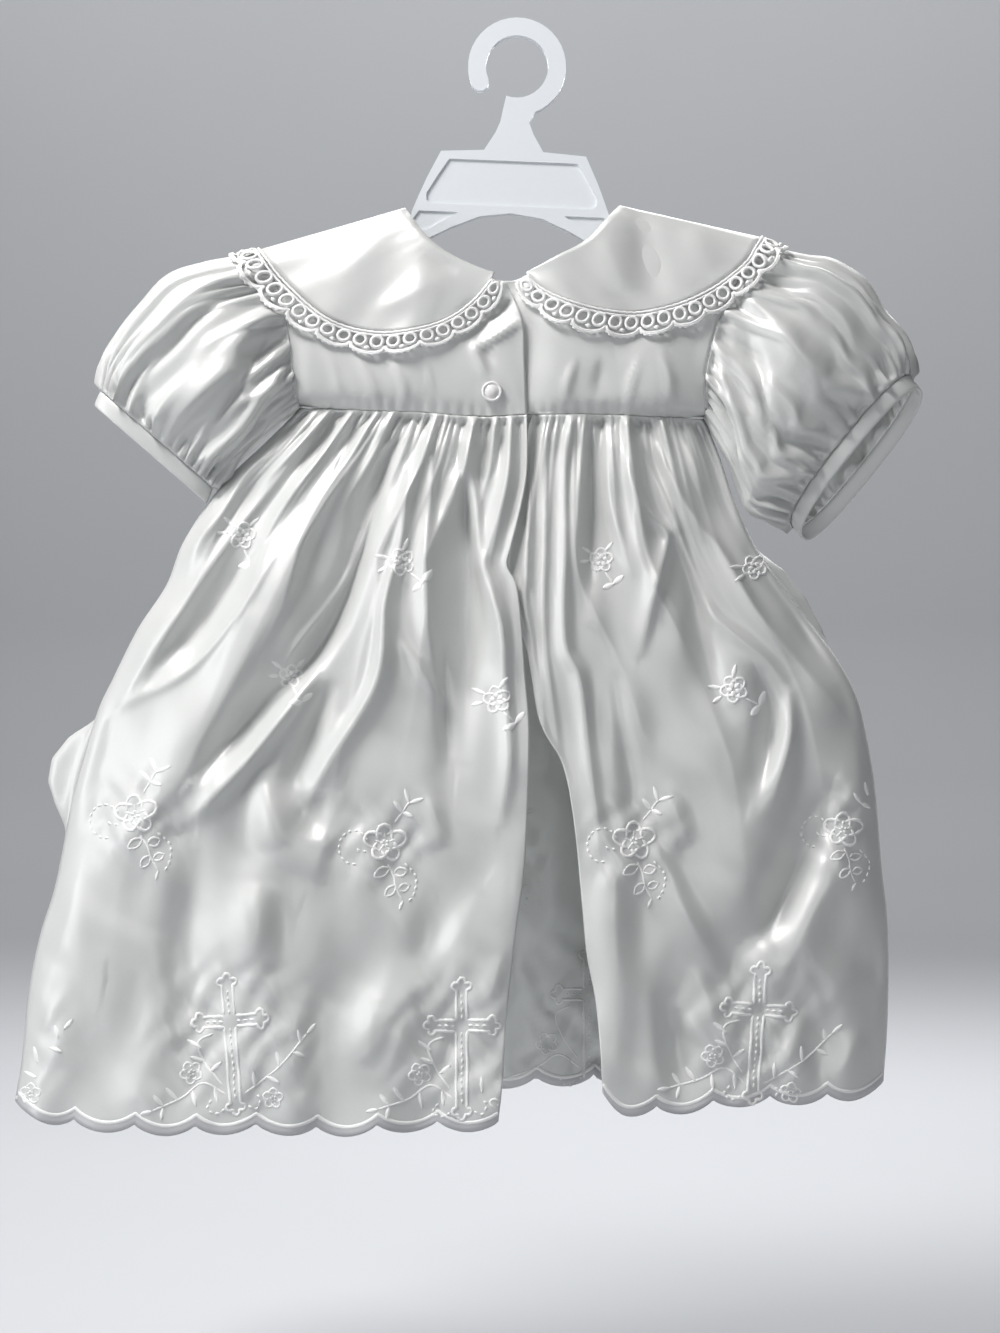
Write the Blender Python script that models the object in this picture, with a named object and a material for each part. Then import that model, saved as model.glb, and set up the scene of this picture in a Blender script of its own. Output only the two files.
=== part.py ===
"""A baby's christening gown on a child's hanger, as separate cut-and-sewn pieces.

Metres, +Z up. The origin is where a rail carries the hanger's hook. The back of the gown
faces -Y and opens down its middle; +X is to the right as one looks at the back.

Tables are in millimetres and MM turns them into metres. They give places as seen square on
from VIEW_DISTANCE, and place_in_depth() then moves each point to its real place, because
what bulges towards the eye looks larger than it is.
"""
import math

import bmesh
import bpy
import numpy as np
from mathutils import Vector
from mathutils.bvhtree import BVHTree

MM = 0.001
WALL = 0.0012               # cloth, with its seam allowances
BINDING_WALL = 0.0015       # cuff binding, cloth folded over the edge
GAP = 0.0003                # left between pieces at a seam
HALF_GAP = GAP / 2
ARMHOLE_GAP = 0.0004
VIEW_DISTANCE = 1.15
VIEW_CENTRE_X = -0.0082
VIEW_CENTRE_Z = -0.2835
BACK = -1                   # outward side of the back panels along Y
FRONT = 1                   # outward side of the front panels along Y

# Outlines of the gown. Columns: x, z, from top to bottom or from left to right.
SIDE_LEFT = [(-97.4, -167.2), (-113.5, -183), (-133, -202), (-150, -227), (-158, -247),
             (-171, -267), (-182, -289), (-189, -304), (-195, -325), (-201, -347),
             (-208, -382), (-215, -405), (-220, -430), (-223, -460), (-226, -484)]
SIDE_RIGHT = [(83.4, -172), (91, -191), (97, -209), (106, -229), (116, -244), (127, -259),
              (143, -280), (152, -297), (156, -313), (160, -336), (163, -371),
              (166, -401), (166, -437), (164, -475)]
OPENING_LEFT = [(4, -170), (4, -195), (1, -213), (-3, -229), (-5, -238), (-1, -246),
                (1, -260), (3, -287), (5, -317), (3, -371), (-1, -402), (-5, -438),
                (-7, -470), (-9, -493)]
OPENING_RIGHT = [(6, -170), (6, -186), (4, -227), (3, -254), (6, -272), (10, -309),
                 (20, -328), (25, -353), (29, -392), (31, -413), (35, -434),
                 (37, -456), (38, -480)]
WAIST_LEFT = [(-99, -167), (-71, -168), (-44, -169), (-17, -171), (4, -170)]
WAIST_RIGHT = [(6, -170), (19, -170), (37, -170), (64, -171), (85, -172)]
WAIST_UNDERLAP = [(-14, -170), (6, -170), (37, -170), (64, -171), (85, -172)]
WAIST_FRONT = [(-99, -167), (-60, -169), (-7, -171), (50, -171), (85, -172)]
HEM_LEFT = [(-226, -484), (-206, -491), (-176, -494), (-149, -495), (-121, -494),
            (-95, -495), (-70, -495), (-46, -493), (-22, -493), (-9, -493)]
HEM_RIGHT = [(38, -480), (50, -486), (75, -485), (98, -482), (121, -481), (145, -480),
             (164, -475)]
HEM_FRONT = [(-226, -484), (-190, -482), (-120, -478), (-40, -475), (40, -472),
             (110, -472), (164, -475)]

# Depth of the skirt on each side of its side seams. Columns: z, back, front.
SKIRT_DEPTH = [(-165, 12, 11), (-200, 17, 14), (-260, 24, 18), (-330, 29, 22),
               (-420, 31, 24), (-500, 31, 25)]
LENS_POWER = 2.6            # how boxy the cross-section between the side seams is
LAP_RAISE = 0.0024          # the left half lies over the right one
LAP_WIDTH = 0.030
UNDERLAP_DROP = 0.0016      # the right half lies deeper under the lap
STEP_RISE = 0.0018          # and rises beside it
STEP_FADE = 0.030
STEP_X = 0.0075
STEP_WIDTH = 0.004

# How far the front skirt rolls out past the side seams. Columns: z, width.
ROLL_LEFT = [(-300, 0), (-306, 3), (-315, 11), (-322, 16), (-330, 15), (-343, 9),
             (-358, 4), (-372, 0)]
ROLL_RIGHT = [(-226, 0), (-233, 10), (-240, 16), (-252, 18), (-266, 15), (-282, 8),
              (-300, 2), (-312, 0)]
ROLL_SHARE = 0.10           # share of the width that the roll takes up
ROLL_FULL = 0.005           # past this width the seam's edge is square to the roll

# Edges of the bodice. Columns: x, y outward, z. The shoulder is at y 0.
SHOULDER_LEFT = [(-115, 0, -98.5), (-83, 0, -89), (-51, 0, -79.5)]
SHOULDER_RIGHT = [(109, 0, -93.5), (77, 0, -86), (46, 0, -78.5)]
NECK_BACK_LEFT = [(-51, 0, -79.5), (-50, 4.8, -80.6), (-48, 6.4, -83), (-40, 8, -93),
                  (-30, 10, -100), (-15, 12.3, -107), (-5, 13.4, -111)]
NECK_BACK_RIGHT = [(46, 0, -78.5), (45, 4.8, -79.6), (43, 6.4, -82), (31, 8, -93),
                   (17, 10, -101), (5, 11.6, -107), (-3, 12, -110), (-14, 11.2, -109)]
NECK_FRONT_LEFT = [(-51, 0, -79.5), (-50, 4.8, -80.6), (-48, 6.6, -84), (-41, 8, -98),
                   (-30, 9.6, -112), (-16, 10.6, -121), (-2, 11, -125)]
NECK_FRONT_RIGHT = [(46, 0, -78.5), (45, 4.8, -79.6), (43, 6.6, -83), (37, 8, -98),
                    (26, 9.6, -112), (12, 10.6, -121), (-2, 11, -125)]
ARMHOLE_LEFT = [(-115, 0, -98.5), (-113, 5, -101), (-106, 9.5, -119),
                (-103, 11, -134), (-101, 10.4, -151), (-99.6, 7.6, -162), (-99, 0, -167)]
ARMHOLE_RIGHT = [(109, 0, -93.5), (107, 5, -96), (92, 9.5, -123), (85, 11, -146),
                 (84, 10.4, -158), (84.5, 7.6, -167.5), (85, 0, -172)]
PLACKET_LEFT = [(-5, 13.4, -111), (2, 14.4, -128), (3, 14.6, -145), (4, 14.4, -170)]
PLACKET_UNDER = [(-14, 11.2, -109), (-14, 11.9, -128), (-14, 12, -145), (-14, 12, -170)]
SHOULDER_ROUND = 0.006      # radius that the cloth turns over the hanger's arm
FRONT_SLACK = 0.009

# Collar and lace edges on the back and on the front. Columns: x, z, from centre to shoulder.
COLLAR_NECK_LEFT = [(-10.5, -106), (-16, -104.5), (-30, -98), (-40, -91), (-47, -83), (-51, -77)]
COLLAR_NECK_RIGHT = [(3.5, -105.8), (10, -102.6), (18, -98.2), (31, -91), (40, -82), (46, -76)]
COLLAR_EDGE_LEFT = [(-12, -108.8), (-21, -119), (-32, -127), (-47, -132), (-64, -133),
                    (-82, -129), (-94, -121), (-106, -109), (-116, -96)]
COLLAR_EDGE_RIGHT = [(4.5, -108), (13, -114.5), (26, -120), (39, -123), (52, -124),
                     (65, -122), (78, -118), (91, -111), (102, -102), (109, -90.5)]
LACE_EDGE_LEFT = [(-5.5, -111.5), (-9, -120), (-17, -129), (-31, -138), (-47, -142), (-64, -144),
                  (-82, -140), (-98, -133), (-113, -122), (-124, -110), (-130, -99)]
LACE_EDGE_RIGHT = [(-2.5, -111.5), (2.5, -119), (10, -126), (22, -132), (36, -135), (51, -136),
                   (66, -134), (82, -129), (98, -120), (113, -107), (121, -96)]
FRONT_NECK_LEFT = [(-8, -120.5), (-16, -118), (-30, -109), (-41, -95), (-47, -83), (-51, -77)]
FRONT_NECK_RIGHT = [(4, -120.5), (12, -118), (26, -109), (37, -95), (42, -83), (46, -76)]
FRONT_EDGE_LEFT = [(-9.5, -123.5), (-20, -134), (-40, -143), (-62, -144), (-82, -139),
                   (-98, -127), (-108, -112), (-116, -96)]
FRONT_EDGE_RIGHT = [(5.5, -123.5), (16, -134), (36, -143), (56, -143), (76, -136),
                    (92, -122), (102, -107), (109, -90.5)]
FRONT_LACE_LEFT = [(-4, -127), (-14, -144), (-38, -154), (-64, -155), (-88, -149),
                   (-108, -134), (-121, -115), (-130, -99)]
FRONT_LACE_RIGHT = [(0, -127), (10, -144), (34, -154), (60, -154), (82, -145),
                    (101, -130), (113, -112), (121, -96)]
COLLAR_CLEARANCE = 0.0018   # from the cloth beneath to the collar's outer face
COLLAR_REACH = 0.0019       # the collar also clears what lies this far beside it
MEAN_DEPTH = 0.013          # of the cloth under the collar
COLLAR_SHARES = np.array([0, 0.12, 0.32, 0.64, 1.0])
LACE_SHARES = np.array([0.5, 1.0])
HALF_SCALLOPS = 8           # lace scallops from the centre to the shoulder
LACE_SCALLOP_DEPTH = 0.003

# Sleeves. Columns of the edges: x, z, from armhole to cuff; of the depths: share, back, front.
SLEEVE_TOP_LEFT = [(-115, -98.5), (-124, -100.5), (-133, -102.5), (-142, -104.5),
                   (-156, -110), (-168, -122), (-179, -134), (-186, -146), (-188, -159)]
SLEEVE_LOW_LEFT = [(-99, -167), (-107, -173), (-116, -181.5), (-126, -191.5), (-137, -203)]
SLEEVE_TOP_RIGHT = [(109, -93.5), (119, -99), (130, -101), (139, -102), (147, -106),
                    (155, -112), (163, -124), (172, -134), (176, -144), (177, -153)]
SLEEVE_LOW_RIGHT = [(85, -172), (94, -190), (100, -206), (104, -214), (114, -218),
                    (123, -220)]
SLEEVE_DEPTH = [(0, 11, 11), (0.12, 15, 14), (0.4, 20, 17), (0.7, 18, 16), (0.9, 13, 12),
                (1, 9.5, 9)]
SLEEVE_BOXINESS = 2.5
SLEEVE_BLEND = 0.30         # share of the length over which the armhole's shape fades
CUFF_WIDTH = 0.0075
# How far the back of each cuff is drawn towards the shoulder, and the front away from it.
CUFF_SKEW_LEFT = 0.000
CUFF_SKEW_RIGHT = 0.007

# Gathers. Columns: count, height.
WAIST_GATHERS_LEFT = (13, 0.0020)
WAIST_GATHERS_RIGHT = (10, 0.0020)
WAIST_GATHERS_FRONT = (18, 0.0020)
CUFF_GATHERS = (18, 0.0012)
CAP_GATHERS = (14, 0.0010)
GATHER_REACH = 0.20         # share of the skirt's length in which the gathers die out
SCALLOP_DEPTH = 0.005
SCALLOPS_LEFT = 8
SCALLOPS_RIGHT = 5
SCALLOPS_FRONT = 15

# Largest folds of the skirt, as soft ridges (height over 0) and troughs (below 0).
# Columns: top x, z; middle x, z; foot x, z; half width; height.
FOLDS_LEFT = [
    (-92, -178, -130, -230, -181, -300, 7, 3.5),
    (-78, -178, -112, -252, -176, -302, 7, -3.0),
    (-66, -185, -100, -255, -178, -380, 16, 4.5),
    (-52, -190, -78, -255, -142, -335, 9, -7.0),
    (-72, -292, -108, -322, -150, -356, 7, 5.5),
    (-80, -305, -104, -345, -118, -372, 8, -3.5),
    (-46, -225, -62, -290, -92, -342, 9, 6.0),
    (-38, -185, -40, -240, -35, -298, 6, 3.5),
    (-24, -205, -20, -270, -28, -332, 8, -5.5),
    (-20, -188, -14, -250, -6, -345, 7, 3.5),
    (-118, -380, -120, -410, -116, -436, 9, 4.0),
    (-145, -372, -150, -410, -138, -455, 9, -4.5),
    (-190, -370, -192, -410, -196, -450, 16, 3.0),
    (-10, -390, -34, -420, -52, -446, 8, 3.5),
    (-62, -400, -74, -430, -84, -452, 10, -4.0),
    (-66, -432, -70, -455, -72, -470, 8, 3.0),
]
FOLDS_RIGHT = [
    (24, -178, 24, -270, 34, -355, 6, 4.0),
    (33, -182, 32, -215, 32, -255, 5, -2.5),
    (50, -215, 58, -250, 52, -300, 11, 4.5),
    (62, -190, 92, -262, 118, -292, 6, 3.0),
    (72, -185, 100, -240, 142, -300, 7, 3.0),
    (78, -232, 84, -285, 98, -330, 9, -5.0),
    (122, -290, 122, -320, 108, -350, 8, -4.5),
    (138, -300, 132, -330, 118, -362, 8, 4.0),
    (52, -372, 74, -395, 92, -422, 7, 4.0),
    (140, -345, 112, -390, 100, -430, 11, -5.5),
    (152, -365, 132, -410, 114, -442, 12, 4.5),
    (46, -365, 48, -410, 44, -470, 9, 3.0),
    (62, -400, 62, -435, 68, -478, 7, -2.5),
]
FOLDS_FRONT = [
    (-80, -180, -120, -250, -165, -330, 10, 4.0),
    (-62, -182, -84, -250, -120, -340, 9, -5.0),
    (-44, -182, -50, -260, -70, -350, 9, 4.5),
    (-20, -182, -20, -260, -30, -350, 9, -4.5),
    (0, -182, 4, -260, 10, -360, 9, 4.0),
    (24, -182, 34, -260, 44, -340, 9, -4.5),
    (46, -182, 64, -250, 88, -330, 9, 4.5),
    (66, -182, 92, -240, 122, -320, 9, -4.0),
    (-150, -370, -155, -410, -150, -450, 11, 4.0),
    (-95, -380, -90, -415, -100, -455, 10, -4.0),
    (-40, -385, -46, -415, -38, -450, 11, 3.5),
    (30, -390, 22, -420, 30, -455, 11, -4.0),
    (95, -375, 88, -415, 96, -450, 11, 4.0),
]

# Pearl button.
BUTTON_X = -0.0118
BUTTON_Z = -0.1600
BUTTON_RADIUS = 0.0047
# Columns: radius share, height, from the back of the button to the crown.
BUTTON_PROFILE = [(0.55, 0.0), (0.90, 0.4), (1.0, 1.2), (0.93, 2.0), (0.72, 2.6), (0.45, 3.0),
                  (0.2, 3.2)]
BUTTON_SIDES = 16

# Hanger, upright in its own frame, then turned by HANGER_TILT about the hook's bearing.
HANGER_TILT = math.radians(2.3)
HANGER_HALF_DEPTH = 0.0026
RECESS_DEPTH = 0.0008
HOOK_INNER_RADIUS = 0.014
HOOK_WIDTH = 0.008
HOOK_START = math.radians(-108)
HOOK_END = math.radians(205)
HOOK_FOOT = math.radians(-66)
HOOK_SIDES = 30
# Right edge from the hook's stem to the end of the arm. Columns: x, z.
HANGER_STEM = [(6.5, -39), (8.5, -44), (13.3, -52)]
HANGER_SHOULDER = [(32.6, -53.2), (38.5, -65.5), (42, -74), (44.5, -80.5), (45.7, -87),
                   (75, -96), (101, -104.5)]
HANGER_ARM_END = [(104, -107), (104.5, -110.5), (101.5, -112.5)]
HANGER_ARCH = [(75, -103.5), (50, -96.5), (35.5, -91.9), (26, -86.9), (14, -81.9), (0, -80)]
# Faces sunk between the raised rims. Columns: x, z; the plate is mirrored to both sides.
PLATE_RECESS = [(0, -56.6), (28.8, -56.6), (33.5, -64), (38.4, -72.4), (38.2, -75.4),
                (36.2, -76.8), (0, -76.8)]
ARM_RECESS = [(24, -80.4), (41.5, -80.4), (45.5, -86.2), (43.5, -90), (36.5, -88.4)]

# Grid lines across each piece; its rows follow its own tables.
LEFT_COLUMNS = 47
RIGHT_COLUMNS = 36
FRONT_COLUMNS = 57
ARMHOLE_STEPS = 9           # along half an armhole
SLEEVE_SPLIT = 3            # sleeve columns to each step of the armhole
HALF_COLLAR_COLUMNS = 24
SHOULDER_SHARES = [0.975, 0.99, 1.0]    # closer grid lines of the collar at the shoulder

SATIN = ("satin", (0.83, 0.83, 0.81, 1.0), 0.32, 0.0)
LACE = ("lace", (0.80, 0.80, 0.77, 1.0), 0.75, 0.0)
PEARL = ("pearl", (0.88, 0.86, 0.82, 1.0), 0.18, 0.0)
PLASTIC = ("plastic", (0.80, 0.83, 0.86, 1.0), 0.38, 0.0)


def clear_scene():
    """Remove what the scene holds."""
    for item in list(bpy.data.objects):
        bpy.data.objects.remove(item, do_unlink=True)


def make_material(name, look):
    """A plain material of a piece, from its look: kind, colour, roughness, metallic."""
    kind, colour, roughness, metallic = look
    material = bpy.data.materials.new(f"{name}_{kind}")
    material.use_nodes = True
    shader = material.node_tree.nodes["Principled BSDF"]
    shader.inputs["Base Color"].default_value = colour
    shader.inputs["Roughness"].default_value = roughness
    shader.inputs["Metallic"].default_value = metallic
    return material


def make_object(name, vertices, faces, look):
    """A closed mesh object whose faces point outwards."""
    mesh = bpy.data.meshes.new(name)
    mesh.from_pydata([tuple(v) for v in vertices], [], faces)
    edit = bmesh.new()
    edit.from_mesh(mesh)
    bmesh.ops.recalc_face_normals(edit, faces=edit.faces)
    edit.to_mesh(mesh)
    edit.free()
    mesh.shade_smooth()
    mesh.materials.append(make_material(name, look))
    item = bpy.data.objects.new(name, mesh)
    bpy.context.scene.collection.objects.link(item)
    return item


def smooth_path(rows, steps=16):
    """Close points on a smooth curve through the rows of a table, in metres."""
    points = np.array(rows, float) * MM
    ends = np.vstack([2 * points[0] - points[1], points, 2 * points[-1] - points[-2]])
    t = np.linspace(0, 1, steps, endpoint=False)[:, None]
    parts = []
    for a, b, c, d in zip(ends[:-3], ends[1:-2], ends[2:-1], ends[3:]):
        bend = (2 * a - 5 * b + 4 * c - d) * t ** 2
        twist = (3 * b - a - 3 * c + d) * t ** 3
        parts.append(0.5 * (2 * b + (c - a) * t + bend + twist))
    parts.append(points[-1:])
    return np.vstack(parts)


def points_along(path, shares):
    """Points of a path at the given shares of its length."""
    steps = np.linalg.norm(np.diff(path, axis=0), axis=1)
    length = np.concatenate([[0], np.cumsum(steps)]) / steps.sum()
    return np.stack([np.interp(shares, length, column) for column in path.T], axis=-1)


def edge_points(rows, shares):
    """Points of a table's smooth curve at the given shares of its length."""
    return points_along(smooth_path(rows), shares)


def fill_patch(top, bottom, left, right, across, down):
    """Grid between four edge curves (a Coons patch), rows from top to bottom."""
    u = across[None, :, None]
    v = down[:, None, None]
    ruled_down = (1 - v) * top[None] + v * bottom[None]
    ruled_across = (1 - u) * left[:, None] + u * right[:, None]
    corners = ((1 - u) * (1 - v) * top[0] + u * (1 - v) * top[-1]
               + (1 - u) * v * bottom[0] + u * v * bottom[-1])
    return ruled_down + ruled_across - corners


def column(table, key, index):
    """A table's column, read at the heights given in key; both are in metres."""
    rows = np.array(table, float) * MM
    order = np.argsort(rows[:, 0])
    return np.interp(key, rows[order, 0], rows[order, index])


def smooth_step(value):
    """0 below 0, 1 above 1 and a soft rise between."""
    t = np.clip(value, 0, 1)
    return t * t * (3 - 2 * t)


def side_x(rows, z):
    """Where a side seam lies at the heights z."""
    path = smooth_path(rows)
    order = np.argsort(path[:, 1])
    return np.interp(z, path[order, 1], path[order, 0])


def skirt_depth(x, z, side):
    """How far the body stands off its side seams at a place, outwards."""
    left = side_x(SIDE_LEFT, z)
    right = side_x(SIDE_RIGHT, z)
    share = np.clip((x - left) / (right - left), 0, 1)
    lens = np.sqrt(1 - np.abs(2 * share - 1) ** LENS_POWER)
    return column(SKIRT_DEPTH, z, 1 if side == BACK else 2) * lens


def lap_raise(x):
    """Extra height of the left half where it lies over the right one."""
    return LAP_RAISE * smooth_step((x + LAP_WIDTH) / LAP_WIDTH)


def fold_height(folds, x, z):
    """Sum of the soft ridges and troughs of a fold table at a place."""
    total = np.zeros_like(x)
    place = np.stack([x, z], axis=-1)
    for row in folds:
        top = np.array(row[0:2]) * MM
        middle = np.array(row[2:4]) * MM
        foot = np.array(row[4:6]) * MM
        width, height = row[6] * MM, row[7] * MM
        nearest = np.full(x.shape, np.inf)
        where = np.zeros(x.shape)
        for start, end, first in ((top, middle, 0.0), (middle, foot, 0.5)):
            run = end - start
            t = np.clip(((place - start) @ run) / (run @ run), 0, 1)
            distance = np.linalg.norm(place - start - t[..., None] * run, axis=-1)
            closer = distance < nearest
            nearest = np.where(closer, distance, nearest)
            where = np.where(closer, first + 0.5 * t, where)
        fade = np.sin(math.pi * np.clip(0.12 + 0.76 * where, 0, 1))
        total += height * fade * np.exp(-(nearest / width) ** 2)
    return total


def place_in_depth(x, outward, z, side):
    """Real place of a point seen at x, z that stands outward from the middle plane."""
    y = side * outward
    scale = 1 + y / VIEW_DISTANCE
    return np.stack([VIEW_CENTRE_X + (x - VIEW_CENTRE_X) * scale, y,
                     VIEW_CENTRE_Z + (z - VIEW_CENTRE_Z) * scale], axis=-1)


def outward_normals(grid, side, closed=False):
    """Unit normals of a grid of points, pointing to the outer side."""
    if closed:
        across = np.roll(grid, -1, axis=1) - np.roll(grid, 1, axis=1)
    else:
        across = np.gradient(grid, axis=1)
    normal = side * np.cross(across, np.gradient(grid, axis=0))
    return normal / np.linalg.norm(normal, axis=2, keepdims=True)


def grid_faces(rows, columns, first, closed):
    """Triangles of one sheet of a wall, cut alike so that two sheets stay parallel."""
    faces = []
    last = columns if closed else columns - 1
    for i in range(rows - 1):
        for j in range(last):
            k = (j + 1) % columns
            a, b = first + i * columns + j, first + i * columns + k
            c, d = b + columns, a + columns
            faces.append((a, b, c))
            faces.append((a, c, d))
    return faces


def wall_between(name, outer, inner, look, closed=False):
    """Closed solid between an outer and an inner grid of points."""
    rows, columns = outer.shape[:2]
    inner_first = rows * columns
    faces = grid_faces(rows, columns, 0, closed)
    faces += [face[::-1] for face in grid_faces(rows, columns, inner_first, closed)]
    last = columns if closed else columns - 1
    for i in (0, rows - 1):
        for j in range(last):
            a = i * columns + j
            b = i * columns + (j + 1) % columns
            faces.append((a, inner_first + a, inner_first + b, b))
    if not closed:
        for j in (0, columns - 1):
            for i in range(rows - 1):
                a = i * columns + j
                b = a + columns
                faces.append((a, inner_first + a, inner_first + b, b))
    vertices = np.vstack([outer.reshape(-1, 3), inner.reshape(-1, 3)])
    return make_object(name, vertices, faces, look)


def keep_to_side(points, side):
    """Points kept clear of the middle plane, on their own side of it."""
    points[..., 1] = side * np.maximum(side * points[..., 1], HALF_GAP)
    return points


def panel_inner(outer, side, wall=WALL, edges=None):
    """Inner grid of a panel. A seamed edge steps straight inwards, as edges says."""
    inner = outer - outward_normals(outer, side) * wall
    slots = {"top": np.s_[0, :], "bottom": np.s_[-1, :], "left": np.s_[:, 0],
             "right": np.s_[:, -1]}
    for edge, step in (edges or {}).items():
        inner[slots[edge]] = outer[slots[edge]] + np.asarray(step, float) * wall
    return keep_to_side(inner, side)


def gather_wave(across, down, gathers, reach):
    """Outward waves of a gathered edge, from a start at the seam to nothing at reach."""
    count, height = gathers
    wander = 0.35 * np.sin(4.1 * math.pi * across) + 0.2 * np.sin(9.7 * math.pi * across)
    wave = np.sin(2 * math.pi * (count * across + wander))
    start = smooth_step(down / 0.015)
    end = 1 - smooth_step(down / reach)
    edges = smooth_step(across / 0.04) * smooth_step((1 - across) / 0.02)
    return height * wave * start * end * edges


def hem_scallops(across, down, count):
    """How far the hem's cusps are drawn up between its scallops."""
    arch = 1 - np.abs(np.sin(math.pi * count * across)) ** 0.7
    return SCALLOP_DEPTH * arch * smooth_step((down - 0.93) / 0.07)


SKIRT_ROWS = np.array([0, 0.022, 0.06, 0.12, 0.20, 0.31, 0.44, 0.58, 0.74, 0.92, 1.0])


def back_skirt(name, columns, waist, hem, left, right, folds, gathers, scallops, lapped):
    """One half of the back skirt."""
    across = np.linspace(0, 1, columns)
    down = SKIRT_ROWS
    waist = [left[0]] + waist[1:-1] + [right[0]]
    grid = fill_patch(edge_points(waist, across), edge_points(hem, across),
                      edge_points(left, down), edge_points(right, down), across, down)
    x, z = grid[..., 0], grid[..., 1]
    u, v = np.meshgrid(across, down)
    from_side = u if lapped else 1 - u
    flat_at_seam = smooth_step(from_side / 0.05)
    outward = skirt_depth(x, z, BACK)
    outward = outward + (lap_raise(x) if lapped else right_step(x)) * (1 - v)
    folded = fold_height(folds, x, z) * smooth_step(v / 0.06)
    outward = outward + (folded + gather_wave(u, v, gathers, GATHER_REACH)) * flat_at_seam
    seam = 0 if lapped else -1
    outward[:, seam] = HALF_GAP
    outward = np.maximum(outward, HALF_GAP)
    z = z + hem_scallops(u, v, scallops)
    z[0] -= HALF_GAP
    outer = place_in_depth(x, outward, z, BACK)
    edges = {"top": (0, 1, 0)}
    edges["left" if lapped else "right"] = (1, 0, 0) if lapped else (-1, 0, 0)
    return wall_between(name, outer, panel_inner(outer, BACK, edges=edges), SATIN)


def roll_out(u, z, table):
    """How far the front skirt swells past a side seam."""
    return column(table, z, 1) * np.sin(math.pi * np.clip(u / ROLL_SHARE, 0, 1))


def front_skirt():
    """The front skirt, from side seam to side seam."""
    across = np.linspace(0, 1, FRONT_COLUMNS)
    down = SKIRT_ROWS
    waist = [SIDE_LEFT[0]] + WAIST_FRONT[1:-1] + [SIDE_RIGHT[0]]
    grid = fill_patch(edge_points(waist, across), edge_points(HEM_FRONT, across),
                      edge_points(SIDE_LEFT, down), edge_points(SIDE_RIGHT, down),
                      across, down)
    x, z = grid[..., 0], grid[..., 1]
    u, v = np.meshgrid(across, down)
    flat_at_seam = smooth_step(u / 0.04) * smooth_step((1 - u) / 0.04)
    outward = skirt_depth(x, z, FRONT)
    folded = fold_height(FOLDS_FRONT, x, z) * smooth_step(v / 0.06)
    waves = gather_wave(u, v, WAIST_GATHERS_FRONT, GATHER_REACH)
    outward = outward + (folded + waves) * flat_at_seam
    outward[:, 0] = HALF_GAP
    outward[:, -1] = HALF_GAP
    outward = np.maximum(outward, HALF_GAP)
    x = x - roll_out(u, z, ROLL_LEFT) + roll_out(1 - u, z, ROLL_RIGHT)
    rolled = (np.clip(column(ROLL_LEFT, z[:, :1], 1) / ROLL_FULL, 0, 1),
              np.clip(column(ROLL_RIGHT, z[:, -1:], 1) / ROLL_FULL, 0, 1))
    z = z + hem_scallops(u, v, SCALLOPS_FRONT)
    z[0] -= HALF_GAP
    outer = place_in_depth(x, outward, z, FRONT)
    inner = panel_inner(outer, FRONT, edges={"top": (0, -1, 0), "left": (1, 0, 0),
                                             "right": (-1, 0, 0)})
    plain = panel_inner(outer, FRONT)
    for seam, share in zip((0, -1), rolled):
        inner[1:, seam] += (share * (plain[:, seam] - inner[:, seam]))[1:]
    return wall_between("front_skirt", outer, inner, SATIN)


def armhole_shares():
    """Shares of half an armhole, closer together at the shoulder and the underarm."""
    t = np.linspace(0, 1, ARMHOLE_STEPS + 1)
    return 0.5 * (t + 0.5 - 0.5 * np.cos(math.pi * t))


def armhole_points(rows):
    """Points of half an armhole, from shoulder to underarm: x, outward, z."""
    points = edge_points(rows, armhole_shares())
    points[[0, -1], 1] = HALF_GAP
    return points


def ring_inward(ring, toward):
    """Unit steps from a ring's points to its inside, across the ring's own line."""
    tangent = np.roll(ring, -1, axis=0) - np.roll(ring, 1, axis=0)
    step = np.cross(tangent, toward)
    step /= np.linalg.norm(step, axis=1, keepdims=True)
    centre = ring.mean(axis=0)
    facing = np.sum(step * (centre - ring), axis=1, keepdims=True)
    return step * np.where(facing < 0, -1, 1)


def armhole_ring(rows):
    """The whole armhole as a ring: back half down, then front half up."""
    half = armhole_points(rows)
    back = place_in_depth(half[:, 0], half[:, 1], half[:, 2], BACK)
    front = place_in_depth(half[:, 0], half[:, 1], half[:, 2], FRONT)
    return np.vstack([back, front[::-1]])


def yoke_rows():
    """Shares of a yoke's height for the rows that meet the armhole's points."""
    return armhole_shares()


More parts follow.
